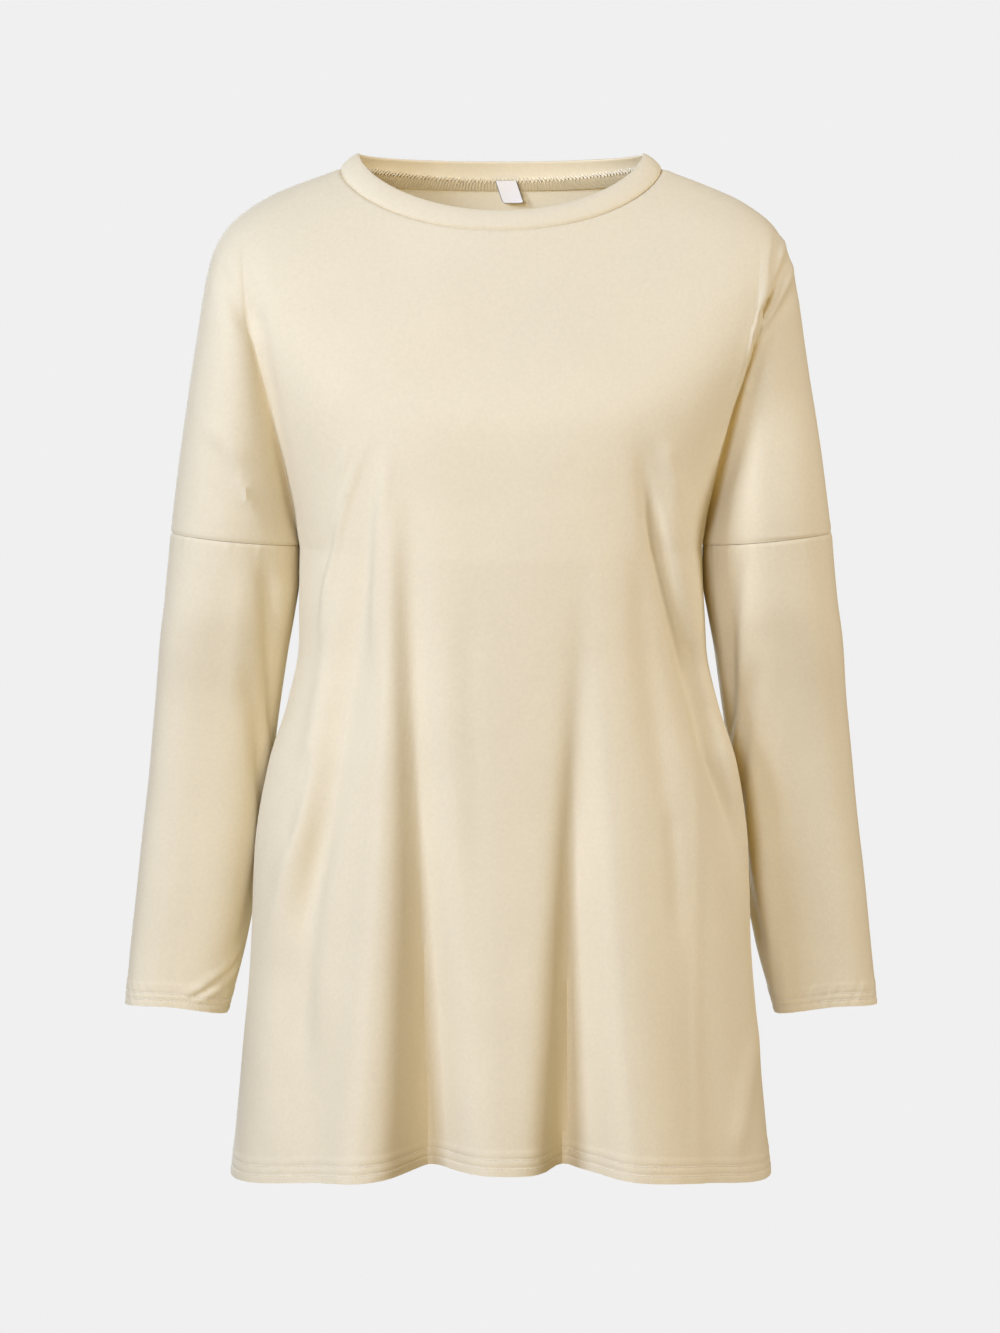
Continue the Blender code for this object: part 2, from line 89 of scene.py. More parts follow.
# ---- how finely the cloth is divided ----
ARM_COLUMNS = 22
HALF_COLUMNS = 70
COLUMN_CROWDING = 1.2        # how much closer the columns lie by the sleeve's crease
SLEEVE_COLUMNS = 150
BAND_COLUMNS = 360
OVERLOCK_COLUMNS = 1600
YOKE_STEPS = 92
TORSO_STEPS = 120
SLEEVE_STEPS = 108
LABEL_STEPS = 17
NECK_FINE_STEPS = (0.0015, 0.003, 0.005, 0.008, 0.013, 0.019)
DROP_FINE_STEPS = (0.003, 0.006, 0.010, 0.015, 0.021)
SLEEVE_FINE_STEPS = (0.003, 0.006, 0.010, 0.015)
HEM_STEP = 1.1 * MM          # from row to row of points near the hem
HEM_FINE_COUNT = 20
CUFF_STEP = 1.0 * MM
CUFF_FINE_COUNT = 19
SHARP_ANGLE = 50             # degrees above which an edge is sharp
RING_SHARP_ANGLE = 70
SMOOTH_ANGLE = 180

# ---- sewing ----
HEM_TURNING = 19 * MM        # depth of the turned hem
HEM_ROWS = (6 * MM, 12 * MM)      # twin-needle rows, above the edge
CUFF_ROWS = (5 * MM, 10 * MM)
HEM_EXTRA_WALL = 0.7 * MM    # how much thicker the wall is where it is turned up
CUFF_EXTRA_WALL = 0.6 * MM
EXTRA_WALL_FADE = 2 * MM
STITCH_PITCH = 3.3 * MM
STITCH_LENGTH = 2.7 * MM
STITCH_START = 0.1           # share of the pitch before the stitch comes up
STITCH_ARCH = (-0.9, 0.5, 0.8, 0.5, -0.9)      # its height along it, in thread radii
THREAD_RADIUS = 0.30 * MM
THREAD_SIDES = 6
THREAD_TIP = 0.35            # share of its radius at the ends of a thread
UPRIGHT = 0.7                # above this mean slope a thread runs upright
OVERLOCK_RADIUS = 0.70 * MM
OVERLOCK_RISE = 1.5 * MM     # the overlock lies over the inside of the band
OVERLOCK_SIDE_RISE = 5.0 * MM
OVERLOCK_WANDER = 0.5 * MM
OVERLOCK_SINK = 0.05 * MM    # how far its cloth is sunk into the band
OVERLOCK_STAND = 0.9 * MM    # how far its thread stands in front of the band
ZIGZAG_PITCH = 3.0 * MM
ZIGZAG_REACH = (2.3 * MM, -1.0 * MM)     # up the band and down the allowance
ALLOWANCE_DEPTH = 7.0 * MM   # below the neck seam
ALLOWANCE_HANG = (0.75, 0.45)     # its share in the middle, and more towards the sides
ALLOWANCE_STAND = 0.6 * MM
ALLOWANCE_PLACE = 0.03       # a place on the yoke just under the seam
ALLOWANCE_PROFILE = ((0.0, 0.2), (0.2, 0.7), (0.5, 0.9), (0.8, 0.7), (1.0, 0.3),
                     (1.0, -0.3), (0.5, -0.3), (0.0, -0.3))
RIB_PITCH = 2.3 * MM
RIB_HEIGHT = 0.42 * MM
BAND_SEAM_STEPS = (0.0, 0.02, 0.05, 0.09)      # rows of the band near its seam
BAND_ROLL = 1.1 * MM         # how far the band's edge rolls in at the seam
BAND_ROLL_REACH = 0.05
BAND_FOLD = 0.06             # share of the band's height that its top fold takes
BAND_FOLD_STEPS = 9
BAND_FACE_STEPS = 12
BAND_INSIDE_STEPS = 10
BAND_WAVE = 0.16 * MM
BAND_WAVE_REACH = 0.35

# ---- relief of seams, hems and uneven cloth ----
# Millimetres: half width and depth of each seam's groove, height of the puckers beside it and
# how far they reach, and the number that sets their pattern.
SEAM_NAMES = ("width", "depth", "pucker", "reach", "seed")
SEAMS = {
    "shoulder": (1.3, 0.5, 0.00, 1.0, 0.0),
    "neck": (1.0, 1.1, 0.22, 9.0, 3.1),
    "drop": (1.4, 0.7, 0.30, 10.0, 5.3),
    "side": (1.3, 0.5, 0.25, 8.0, 2.2),
    "sleeve_top": (1.4, 0.6, 0.30, 10.0, 6.1),
    "underarm": (1.3, 0.5, 0.00, 1.0, 0.0),
}
ROW_WIDTH = 0.9 * MM         # the groove along a row of stitches
ROW_DEPTH = 0.45 * MM
TURNING_HEIGHT = 0.35 * MM   # how far a turned hem stands out
TURNING_FADE = 3 * MM
HEM_PUCKER = 0.28 * MM
HEM_PUCKER_SLANT = 0.5
HEM_PUCKER_MARGIN = 6 * MM
HEM_PUCKER_FADE = 10 * MM
HEM_SEED = 4.4
CUFF_SEED = 7.7
BAND_SEED = 1.3
OVERLOCK_SEED = 2.0
RIPPLE_WAVES = ((7.3, 1.0), (11.9, 0.7), (18.7, 0.45), (4.1, 0.6))     # length in mm, and size
RIPPLE_SIZE = 1.9            # what the sum of the waves is divided by
RIPPLE_START = 1.7
RIPPLE_TURN = 2.39
PANEL_UNEVEN = 0.35 * MM     # slight unevenness, and the lengths of its waves
PANEL_WAVE_ACROSS = 0.021
PANEL_WAVE_DOWN = 0.038
PANEL_SWAY = 2.1
PANEL_SWAY_LENGTH = 0.047
SLEEVE_UNEVEN = 0.3 * MM
SLEEVE_WAVES_ROUND = 3
SLEEVE_WAVE_SLANT = 0.03
SLEEVE_WAVE_DOWN = 0.027

# ---- form: rows from the neck down ----
YOKE_NAMES = ("along", "side_x", "side_z", "crease_x", "front_y", "front_z",
              "back_y", "back_z", "round", "sag", "left", "right", "behind")
YOKE = (
    (0.0, 0.1145, -0.0050, 0.1000, 0.0480, -0.0510, 0.078, -0.0100, 2.0, 0.62, 0.00, 0.00, 0.00),
    (0.1, 0.1415, -0.0150, 0.1270, 0.0575, -0.0750, 0.088, -0.0350, 2.2, 0.66, 0.00, 0.00, 0.00),
    (0.2, 0.1690, -0.0270, 0.1560, 0.0670, -0.0980, 0.095, -0.0620, 2.4, 0.72, 0.00, 0.00, 0.00),
    (0.3, 0.1940, -0.0460, 0.1805, 0.0765, -0.1220, 0.100, -0.0900, 2.5, 0.80, 0.02, 0.01, 0.02),
    (0.4, 0.2060, -0.0690, 0.1790, 0.0860, -0.1460, 0.103, -0.1190, 2.6, 0.86, 0.09, 0.06, 0.10),
    (0.6, 0.2170, -0.1300, 0.1660, 0.1030, -0.1930, 0.106, -0.1760, 2.6, 0.92, 0.38, 0.30, 0.42),
    (0.8, 0.2280, -0.1980, 0.1530, 0.1070, -0.2400, 0.104, -0.2330, 2.5, 0.97, 0.72, 0.66, 0.74),
    (1.0, 0.2368, -0.2630, 0.1440, 0.1100, -0.2772, 0.100, -0.2772, 2.4, 1.00, 1.00, 1.00, 1.00),
)
FRONT_COLUMNS = ("front_y", "front_z", ("left", "right"))
BACK_COLUMNS = ("back_y", "back_z", ("behind", "behind"))
TORSO_NAMES = ("side_z", "half_width", "front_y", "back_y")
TORSO = (
    (-0.2720, 0.1440, 0.110, 0.100),
    (-0.3410, 0.1450, 0.110, 0.092),
    (-0.3840, 0.1532, 0.110, 0.088),
    (-0.4280, 0.1672, 0.110, 0.088),
    (-0.4930, 0.1777, 0.111, 0.091),
    (-0.5590, 0.1807, 0.113, 0.096),
    (-0.6480, 0.1882, 0.116, 0.102),
    (-0.7265, 0.1965, 0.118, 0.106),
)
SLEEVE_NAMES = ("outer_z", "outer_x", "inner_x", "middle_y", "half_y")
SLEEVE = (
    (-0.2630, 0.2368, 0.1446, 0.000, 0.0480),
    (-0.2900, 0.2397, 0.1451, 0.003, 0.0478),
    (-0.3120, 0.2420, 0.1486, 0.006, 0.0475),
    (-0.3410, 0.2466, 0.1546, 0.014, 0.0470),
    (-0.3840, 0.2512, 0.1616, 0.026, 0.0460),
    (-0.4280, 0.2563, 0.1680, 0.034, 0.0455),
    (-0.4714, 0.2615, 0.1738, 0.038, 0.0445),
    (-0.5153, 0.2668, 0.1803, 0.039, 0.0435),
    (-0.5590, 0.2718, 0.1880, 0.039, 0.0415),
    (-0.6110, 0.2769, 0.2022, 0.037, 0.0375),
)

# The largest folds of the panels, as in the part.
FOLD_NAMES = ("top_z", "end_z", "top_x", "mid_x", "end_x",
              "top_width", "end_width", "top_height", "end_height", "skew")
FRONT_FOLDS = (
    (-0.19, -0.74, -0.073, -0.081, -0.100, 0.009, 0.026, 0.0025, 0.017, 0.0),
    (-0.20, -0.74, -0.068, -0.059, -0.056, 0.009, 0.022, -0.001, -0.050, 0.35),
    (-0.30, -0.74, -0.008, -0.006, -0.004, 0.046, 0.038, 0.000, 0.008, 0.0),
    (-0.26, -0.74, 0.058, 0.052, 0.048, 0.013, 0.021, 0.000, -0.048, 0.2),
    (-0.24, -0.74, 0.072, 0.076, 0.098, 0.016, 0.034, 0.002, 0.016, 0.3),
    (-0.17, -0.54, 0.094, 0.130, 0.184, 0.009, 0.011, -0.004, -0.008, 0.0),
    (-0.19, -0.56, 0.112, 0.148, 0.200, 0.011, 0.013, 0.005, 0.007, 0.0),
    (-0.45, -0.74, 0.135, 0.142, 0.156, 0.016, 0.020, -0.001, -0.005, 0.0),
    (-0.44, -0.70, -0.140, -0.142, -0.140, 0.014, 0.018, -0.003, -0.006, 0.0),
    (-0.20, -0.56, -0.086, -0.107, -0.148, 0.009, 0.014, -0.003, -0.009, 0.0),
    (-0.26, -0.58, -0.108, -0.133, -0.168, 0.007, 0.011, 0.003, 0.007, 0.0),
)
BACK_FOLDS = (
    (-0.22, -0.74, 0.070, 0.064, 0.054, 0.018, 0.024, -0.004, -0.034, 0.0),
    (-0.24, -0.74, 0.010, 0.006, 0.000, 0.040, 0.034, 0.002, 0.012, 0.0),
    (-0.20, -0.74, -0.066, -0.060, -0.050, 0.016, 0.022, -0.004, -0.030, 0.2),
    (-0.24, -0.74, -0.098, -0.104, -0.108, 0.020, 0.026, 0.003, 0.014, 0.0),
    (-0.24, -0.74, 0.100, 0.108, 0.112, 0.020, 0.026, 0.003, 0.012, 0.0),
    (-0.17, -0.50, -0.100, -0.128, -0.160, 0.010, 0.013, -0.005, -0.005, 0.0),
    (-0.50, -0.74, 0.140, 0.146, 0.150, 0.014, 0.016, -0.002, -0.010, 0.0),
)
FOLD_FADE = 0.09
FOLD_EDGE_DEPTH = 0.050      # where the panel is no deeper than this, large folds die out
FOLD_GROWTH = 1.6            # how late the folds deepen and widen on their way down
FOLD_TURN = 0.010            # over which a skewed fold changes from its steep to its easy side
CREASE_EDGE_DEPTH = 0.012    # and the smaller creases here

# The lap at the right shoulder: the chest's cloth lies over the arm's along this edge.
LAP_NAMES = ("z", "edge_x", "drop")
LAP = (
    (-0.040, 0.1960, 0.0000),
    (-0.067, 0.1880, 0.0050),
    (-0.090, 0.1840, 0.0090),
    (-0.111, 0.1790, 0.0130),
    (-0.125, 0.1740, 0.0155),
    (-0.153, 0.1665, 0.0165),
    (-0.178, 0.1595, 0.0170),
    (-0.204, 0.1535, 0.0170),
    (-0.232, 0.1475, 0.0180),
    (-0.262, 0.1410, 0.0190),
    (-0.288, 0.1375, 0.0190),
)
LAP_EDGE = 0.0045            # over which the cloth drops back
LAP_HOLD = 0.030             # how far it stays low
LAP_RETURN = 0.075           # over which it comes forward again
LAP_LIP = 0.0010             # how far the edge stands forward
LAP_SHARE = 0.8              # share of the depth that the drop can take where the arm is thin
LAP_SEAM_FADE = 0.026        # over which the lap dies out above the dropped seam, at its edge
LAP_WIDE_FADE = 0.085        # how much longer that takes out on the arm

# Creases in millimetres, in the front view: start, middle and end as x and z, half width, and
# height, positive for a ridge.
CREASE_FADE = 0.3            # share of a crease over which it rises and dies
CREASE_REACH = 3             # half widths beyond which it is nothing
CREASE_POINTS = 25
CREASE_NAMES = ("x0", "z0", "x1", "z1", "x2", "z2", "width", "height")
FRONT_CREASES = (
    (-92, -190, -113, -262, -128, -345, 2.9, 3.4),      # thin ridges under the left bust
    (-102, -190, -111, -232, -120, -275, 2.9, 2.4),
    (-98, -196, -112, -245, -122, -300, 3.0, -1.8),
    (-76, -190, -84, -270, -87, -360, 4.5, 2.6),
    (-133, -405, -143, -445, -156, -490, 5, -3.0),      # by the left side
    (-118, -440, -134, -540, -140, -660, 8, -3.0),
    (-150, -540, -152, -610, -158, -690, 10, -2.0),
    (93, -190, 124, -335, 170, -495, 5.5, -4.6),        # the long diagonal on the right
    (118, -290, 147, -405, 177, -525, 6.5, -4.5),
    (103, -195, 134, -335, 180, -480, 6, 2.6),
    (103, -192, 109, -220, 119, -250, 3.5, -1.4),
    (113, -196, 118, -216, 127, -242, 3.5, 1.4),
    (96, -250, 104, -365, 128, -505, 9, -2.6),
    (117, -450, 121, -490, 124, -560, 5, -2.0),
    (183, -610, 174, -660, 166, -712, 7, 2.4),          # by the right side, low down
    (-182, -222, -179, -234, -175, -246, 5, 1.2),       # left cap
    (-204, -182, -192, -198, -174, -214, 8, 1.2),
    (-201, -66, -186, -99, -168, -130, 7, -2.6),
    (-176, -58, -166, -138, -154, -197, 7, -2.6),
    (-160, -165, -151, -225, -145, -268, 6, -1.6),
    (203, -47, 191, -81, 178, -113, 3.0, 2.8),          # folds that fan from the right crease
    (208, -58, 190, -92, 176, -121, 2.8, -2.4),
    (209, -68, 193, -99, 173, -135, 3.2, 3.2),
    (212, -82, 193, -112, 173, -142, 4.0, -1.6),
    (-55, -60, -92, -96, -132, -132, 18, -0.9),         # soft drag from the neck
    (60, -60, 98, -96, 138, -134, 18, -0.9),
    (-22, -290, -20, -400, -14, -510, 8, -1.0),         # soft troughs in the middle
    (-24, -430, -20, -560, -24, -700, 14, -1.4),
    (18, -520, 20, -620, 16, -715, 10, 1.2),
    (-60, -330, -58, -560, -56, -800, 9, 3.0),        # the near walls of the two large troughs
    (55, -400, 57, -600, 58, -800, 7.5, 2.4),
    (-204, -190, -199, -222, -192, -256, 5, -1.5),      # soft upright creases in the left cap
    (-193, -198, -186, -235, -175, -268, 4.5, -1.6),
    (-187, -192, -180, -232, -167, -264, 4, 1.4),
)
BACK_CREASES = (
    (84, -200, 100, -280, 122, -360, 6, 1.6),
    (70, -190, 80, -260, 92, -340, 6, -1.4),
    (-94, -200, -112, -290, -136, -380, 6, 1.8),
    (-80, -195, -92, -270, -104, -340, 6, -1.4),
    (30, -330, 34, -430, 30, -560, 12, -1.6),
    (-26, -360, -30, -480, -26, -600, 12, -1.4),
    (200, -66, 186, -99, 168, -130, 7, -2.6),
    (-203, -70, -190, -99, -172, -126, 7, -2.6),
    (178, -60, 166, -138, 154, -197, 7, -2.6),
    (-180, -60, -168, -138, -154, -200, 7, -2.6),
    (-120, -110, -60, -128, 10, -124, 14, -0.9),
    (120, -120, 60, -140, 0, -136, 14, -0.8),
    (-182, -215, -178, -232, -172, -246, 6, 1.2),
    (190, -180, 180, -200, 170, -222, 8, 1.2),
    (160, -420, 168, -520, 176, -620, 8, -1.8),
)

# Sleeve folds: share of the sleeve's length, angle round it in degrees from the outer side
# over the front, how far the fold climbs round, its half width in degrees and its height.
SLEEVE_FOLD_FADE = 0.25      # share of a fold over which it rises and dies
SLEEVE_FOLD_START = 0.06     # share of the sleeve over which its folds begin
SLEEVE_FOLD_NAMES = ("start", "end", "angle", "turn", "width", "height")
SLEEVE_FOLDS = (
    (0.00, 0.45, 117, 48, 10, -0.0045),
    (0.22, 0.70, 112, 64, 11, -0.0030),
    (0.55, 0.92, 172, -20, 14, -0.0025),
    (0.20, 0.60, 300, -40, 16, -0.0035),
    (0.60, 0.98, 250, 50, 14, -0.0030),
)
LEFT_SLEEVE_CREASES = (
    (0.02, 0.55, 128, 18, 9, -0.0014),
    (0.05, 0.35, 100, 10, 10, 0.0010),
    (0.83, 0.985, 172, -74, 7, 0.0013),
    (0.87, 0.995, 176, -66, 7, 0.0011),
    (0.85, 0.99, 174, -70, 5, -0.0009),
    (0.10, 0.45, 215, 30, 10, -0.0014),
    (0.50, 0.80, 200, -40, 10, 0.0012),
    (0.30, 0.62, 260, 35, 9, -0.0014),
)
RIGHT_SLEEVE_CREASES = (
    (0.02, 0.40, 135, 12, 9, -0.0012),
    (0.30, 0.70, 110, 18, 11, -0.0009),
    (0.78, 0.97, 120, 30, 9, -0.0010),
    (0.12, 0.50, 225, 30, 10, -0.0014),
    (0.55, 0.85, 205, -35, 10, 0.0012),
    (0.35, 0.66, 275, 35, 9, -0.0013),
)


# ---- tables and curves ----
def rows_of(table, names):
    """Each row of a table as a dictionary of its named columns."""
    return [dict(zip(names, row)) for row in table]


NECK_ROW, BELOW_NECK_ROW, *_, DROP_ROW = rows_of(YOKE, YOKE_NAMES)


def smooth_curve(knots, values, places):
    """Read a monotone cubic curve through (knots, values) at the given places."""
    steps = np.diff(knots)
    slopes = np.diff(values) / steps
    tangents = np.empty(len(knots))
    tangents[0], tangents[-1] = slopes[0], slopes[-1]
    same_way = slopes[:-1] * slopes[1:] > 0
    total = np.where(same_way, slopes[:-1] + slopes[1:], 1.0)
    tangents[1:-1] = np.where(same_way, 2 * slopes[:-1] * slopes[1:] / total, 0.0)
    places = np.clip(places, min(knots[0], knots[-1]), max(knots[0], knots[-1]))
    seg = np.clip(np.searchsorted(knots, places, side="right") - 1, 0, len(steps) - 1)
    t = (places - knots[seg]) / steps[seg]
    rise = (values[seg + 1] - values[seg]) * (3 * t**2 - 2 * t**3)
    leave = tangents[seg] * steps[seg] * (t - 2 * t**2 + t**3)
    arrive = tangents[seg + 1] * steps[seg] * (t**3 - t**2)
    return values[seg] + rise + leave + arrive


def read_table(table, names, places, falling=False):
    """All columns of a table at the given places of its first column."""
    columns = np.array(table, float).T
    knots = columns[0]
    if falling:
        knots, places = -knots, -places
    return {name: smooth_curve(knots, values, places)
            for name, values in zip(names[1:], columns[1:])}


def read_row(table, names, place, falling=False):
    """All columns of a table at one place of its first column."""
    at = read_table(table, names, np.array([place]), falling)
    return {name: value[0] for name, value in at.items()}


def smooth_step(t):
    """0 below 0, 1 above 1, and an even S between."""
    t = np.clip(t, 0.0, 1.0)
    return t * t * (3 - 2 * t)


def bell(away, width):
    """1 at 0, and dying out beyond a half width."""
    return np.exp(-(away / width)**2)


def superellipse(ratio, power, edge_power=None):
    """Depth of a superellipse of half width 1 and depth 1 at a place across it."""
    return np.maximum(1 - np.abs(ratio)**power, 0.0)**(1 / (edge_power or power))


def through_three(first, middle, last, t):
    """A parabola that is first at 0, middle at a half and last at 1."""
    return first * (1 - t) * (1 - 2 * t) + 4 * middle * t * (1 - t) + last * t * (2 * t - 1)


def steps_with_fine_ends(count, fine_start, fine_end):
    """Places from 0 to 1, even between, with extra ones near either end."""
    even = np.linspace(0, 1, count + 1)
    low = max(fine_start, default=0.0)
    high = 1 - max(fine_end, default=0.0)
    between = even[(even > low + 0.5 / count) & (even < high - 0.5 / count)]
    places = [0.0, *fine_start, *between, *[1 - f for f in fine_end], 1.0]
    return np.array(sorted(set(places)))


def full_turn(count):
    """Angles evenly round a circle."""
    return 2 * math.pi * np.arange(count) / count


def unit(vectors):
    """Each vector with a length of 1."""
    return vectors / np.linalg.norm(vectors, axis=1)[:, None]


def ripple(along, seed):
    """An uneven wave, about -1 to 1, along a length in metres."""
    wave = sum(size * np.sin(2 * math.pi * along / (length * MM)
                             + seed * (k + RIPPLE_START) * RIPPLE_TURN)
               for k, (length, size) in enumerate(RIPPLE_WAVES))
    return wave / RIPPLE_SIZE


# ---- forms ----
def yoke_half(v, depth_name, height_name, crease):
    """Half a row round the neck, from the side to the middle: x, depth and z."""
    at = read_row(YOKE, YOKE_NAMES, v)
    arm = np.linspace(0, 1, ARM_COLUMNS + 1)
    torso = np.linspace(0, 1, HALF_COLUMNS + 1)[1:]**COLUMN_CROWDING
    arm_x = at["side_x"] - (at["side_x"] - at["crease_x"]) * (1 - np.cos(math.pi * arm)) / 2
    torso_x = at["crease_x"] * np.cos(math.pi / 2 * torso)
    x = np.concatenate([arm_x, torso_x])
    across = x / at["side_x"]
    smooth = at[depth_name] * superellipse(across, at["round"])
    sharpness = at[crease]**2
    arm_power = np.where(arm > 0.5, 2 - sharpness, 1.0)
    edge_power = 1 + (at["round"] - 1) * sharpness
    creased = np.concatenate([
        ARM_DEPTH * np.maximum(np.sin(math.pi * arm), 0.0)**arm_power,
        at[depth_name] * superellipse(torso_x / at["crease_x"], at["round"], edge_power)])
    depth = (1 - at[crease]) * smooth + at[crease] * creased
    depth += SIDE_GAP / 2 + WALL * at[crease] * bell(x - at["crease_x"], CREASE_ROUNDING)
    sag = np.maximum(1 - across**2, 0.0)**at["sag"]
    z = at["side_z"] + (at[height_name] - at["side_z"]) * sag
    return x, depth, z


def yoke_row(v, depth_name, height_name, creases):
    """Points of one row round the neck, on the front or the back: x, depth and z."""
    left, right = (yoke_half(v, depth_name, height_name, crease) for crease in creases)
    x, depth, z = (np.concatenate([a, b[::-1][1:]]) for a, b in zip(left, right))
    x[:len(left[0]) - 1] *= -1
    return x, depth, z


def torso_row(w, top_x, top_z, depth_name, hem_rise):
    """Points of one row of the torso: w is 0 at the underarm and 1 at the hem."""
    side_z = top_z[0] + (HEM_SIDE_Z - top_z[0]) * w
    at = read_row(TORSO, TORSO_NAMES, side_z, falling=True)
    ratio = top_x / abs(top_x[0])
    x = at["half_width"] * ratio
    depth = at[depth_name] * superellipse(ratio, TORSO_ROUND) + SIDE_GAP / 2
    hem_z = HEM_SIDE_Z + hem_rise * (1 - ratio**2)
    return x, depth, (1 - w) * top_z + w * hem_z


def drop_seam_z(x):
    """Height of the dropped seam in front, at places across the arm."""
    sag = 1 - (x / DROP_ROW["side_x"])**2
    return DROP_ROW["side_z"] + (DROP_ROW["front_z"] - DROP_ROW["side_z"]) * sag


def fold_height(folds, x, z):
    """How far the large folds push the cloth out at places across and up the shirt."""
    height = np.zeros_like(x)
    for fold in rows_of(folds, FOLD_NAMES):
        t = (fold["top_z"] - z) / (fold["top_z"] - fold["end_z"])
        aside = x - through_three(fold["top_x"], fold["mid_x"], fold["end_x"], t)
        growth = np.clip(t, 0, 1)**FOLD_GROWTH
        width = fold["top_width"] + (fold["end_width"] - fold["top_width"]) * growth
        size = fold["top_height"] + (fold["end_height"] - fold["top_height"]) * growth
        rise = smooth_step((fold["top_z"] - z) / FOLD_FADE)
        fall = smooth_step((z - fold["end_z"]) / FOLD_FADE)
        fade = rise * (fall if fold["end_z"] > HEM_SIDE_Z else 1.0)
        width *= 1 + fold["skew"] * np.tanh(aside / FOLD_TURN)
        height += size * fade * bell(aside, width)
    return height


def lap_depth(lap, x, z, depth):
    """How far back the cloth lies beyond the edge of the lap."""
    at = read_table(lap, LAP_NAMES, np.clip(z, lap[-1][0], lap[0][0]), falling=True)
    past = x - at["edge_x"]
    low = smooth_step(past / LAP_EDGE) * (1 - smooth_step((past - LAP_HOLD) / LAP_RETURN))
    above_seam = z - drop_seam_z(np.clip(x, 0, DROP_ROW["side_x"]))
    fade = LAP_SEAM_FADE + LAP_WIDE_FADE * smooth_step(past / LAP_HOLD)
    drop = at["drop"] * low * smooth_step(above_seam / fade)
    drop *= np.tanh(LAP_SHARE * depth / np.maximum(drop, LAP_LIP))
    lip = bell(past, LAP_EDGE) * at["drop"] / max(row[2] for row in lap)
    return drop - LAP_LIP * lip * smooth_step(depth / LAP_HOLD)


def distance_to_path(x, z, path_x, path_z):
    """How far each point is from a path of short lines, and its place along it, 0 to 1."""
    best = np.full(len(x), np.inf)
    place = np.zeros(len(x))
    count = len(path_x) - 1
    for k in range(count):
        run_x, run_z = path_x[k + 1] - path_x[k], path_z[k + 1] - path_z[k]
        t = ((x - path_x[k]) * run_x + (z - path_z[k]) * run_z) / (run_x**2 + run_z**2)
        t = np.clip(t, 0, 1)
        away = np.hypot(x - path_x[k] - t * run_x, z - path_z[k] - t * run_z)
        nearer = away < best
        best = np.where(nearer, away, best)
        place = np.where(nearer, (k + t) / count, place)
    return best, place


def crease_height(creases, x, z):
    """How far the smaller creases push the cloth out."""
    height = np.zeros_like(x)
    t = np.linspace(0, 1, CREASE_POINTS)
    for crease in rows_of(creases, CREASE_NAMES):
        path_x, path_z = (through_three(crease[a + "0"], crease[a + "1"], crease[a + "2"], t) * MM
                          for a in "xz")
        width = crease["width"] * MM
        reach = CREASE_REACH * width
        near = ((x > path_x.min() - reach) & (x < path_x.max() + reach)
                & (z > path_z.min() - reach) & (z < path_z.max() + reach))
        away, along = distance_to_path(x[near], z[near], path_x, path_z)
        fade = smooth_step(along / CREASE_FADE) * smooth_step((1 - along) / CREASE_FADE)
        height[near] += crease["height"] * MM * fade * bell(away, width)
    return height


def quads_of_grid(rows, columns, wrap=False):
    """Index quads of a grid of points; wrap joins the last column to the first."""
    r, c = np.meshgrid(np.arange(rows - 1), np.arange(columns if wrap else columns - 1),
                       indexing="ij")
    right = (c + 1) % columns
    return np.stack([r * columns + c, r * columns + right,
                     (r + 1) * columns + right, (r + 1) * columns + c], axis=-1).reshape(-1, 4)


def point_normals(points, quads):
    """Outward unit normals of a sheet's points, each face counted by its corner's angle."""
    normals = np.zeros_like(points)
    for k in range(4):
        ahead = points[quads[:, (k + 1) % 4]] - points[quads[:, k]]
        behind = points[quads[:, k - 1]] - points[quads[:, k]]
        face = np.cross(ahead, behind)
        size = np.maximum(np.linalg.norm(face, axis=1), np.finfo(float).tiny)
        angle = np.arctan2(size, np.sum(ahead * behind, axis=1))
        np.add.at(normals, quads[:, k], face * (angle / size)[:, None])
    return unit(normals)


def run_lengths(grid, axis):
    """Distance run along a grid of points from its first row or column."""
    step = np.linalg.norm(np.diff(grid, axis=axis), axis=-1)
    start = np.zeros_like(np.take(step, [0], axis=axis))
    return np.concatenate([start, np.cumsum(step, axis=axis)], axis=axis)


def level(directions, indices):
    """Make some of a sheet's inward directions level."""
    directions[indices, 2] = 0
    directions[indices] = unit(directions[indices])


def seam_relief(name, away, along=None, side=0):
    """Relief of a seam: its narrow groove, and the puckers along it."""
    seam = dict(zip(SEAM_NAMES, SEAMS[name]))
    relief = -seam["depth"] * MM * bell(away, seam["width"] * MM)
    if seam["pucker"]:
        wave = ripple(along, seam["seed"] + side)
        relief += seam["pucker"] * MM * wave * bell(away, seam["reach"] * MM)
    return relief


def hem_relief(away, along, rows, seed):
    """Relief of a turned hem: its doubled cloth, its stitch rows and the puckers between."""
    doubled = TURNING_HEIGHT * smooth_step((HEM_TURNING - away) / TURNING_FADE)
    stitched = sum(-ROW_DEPTH * bell(away - row, ROW_WIDTH) for row in rows)
    window = smooth_step((HEM_TURNING + HEM_PUCKER_MARGIN - away) / HEM_PUCKER_FADE)
    puckers = HEM_PUCKER * window * ripple(along + HEM_PUCKER_SLANT * away, seed)
    return doubled + stitched + puckers


# The outer face of a piece, with its inward directions, its cloth lengths and its walls.
Sheet = namedtuple("Sheet", "points quads inward cloth wall")


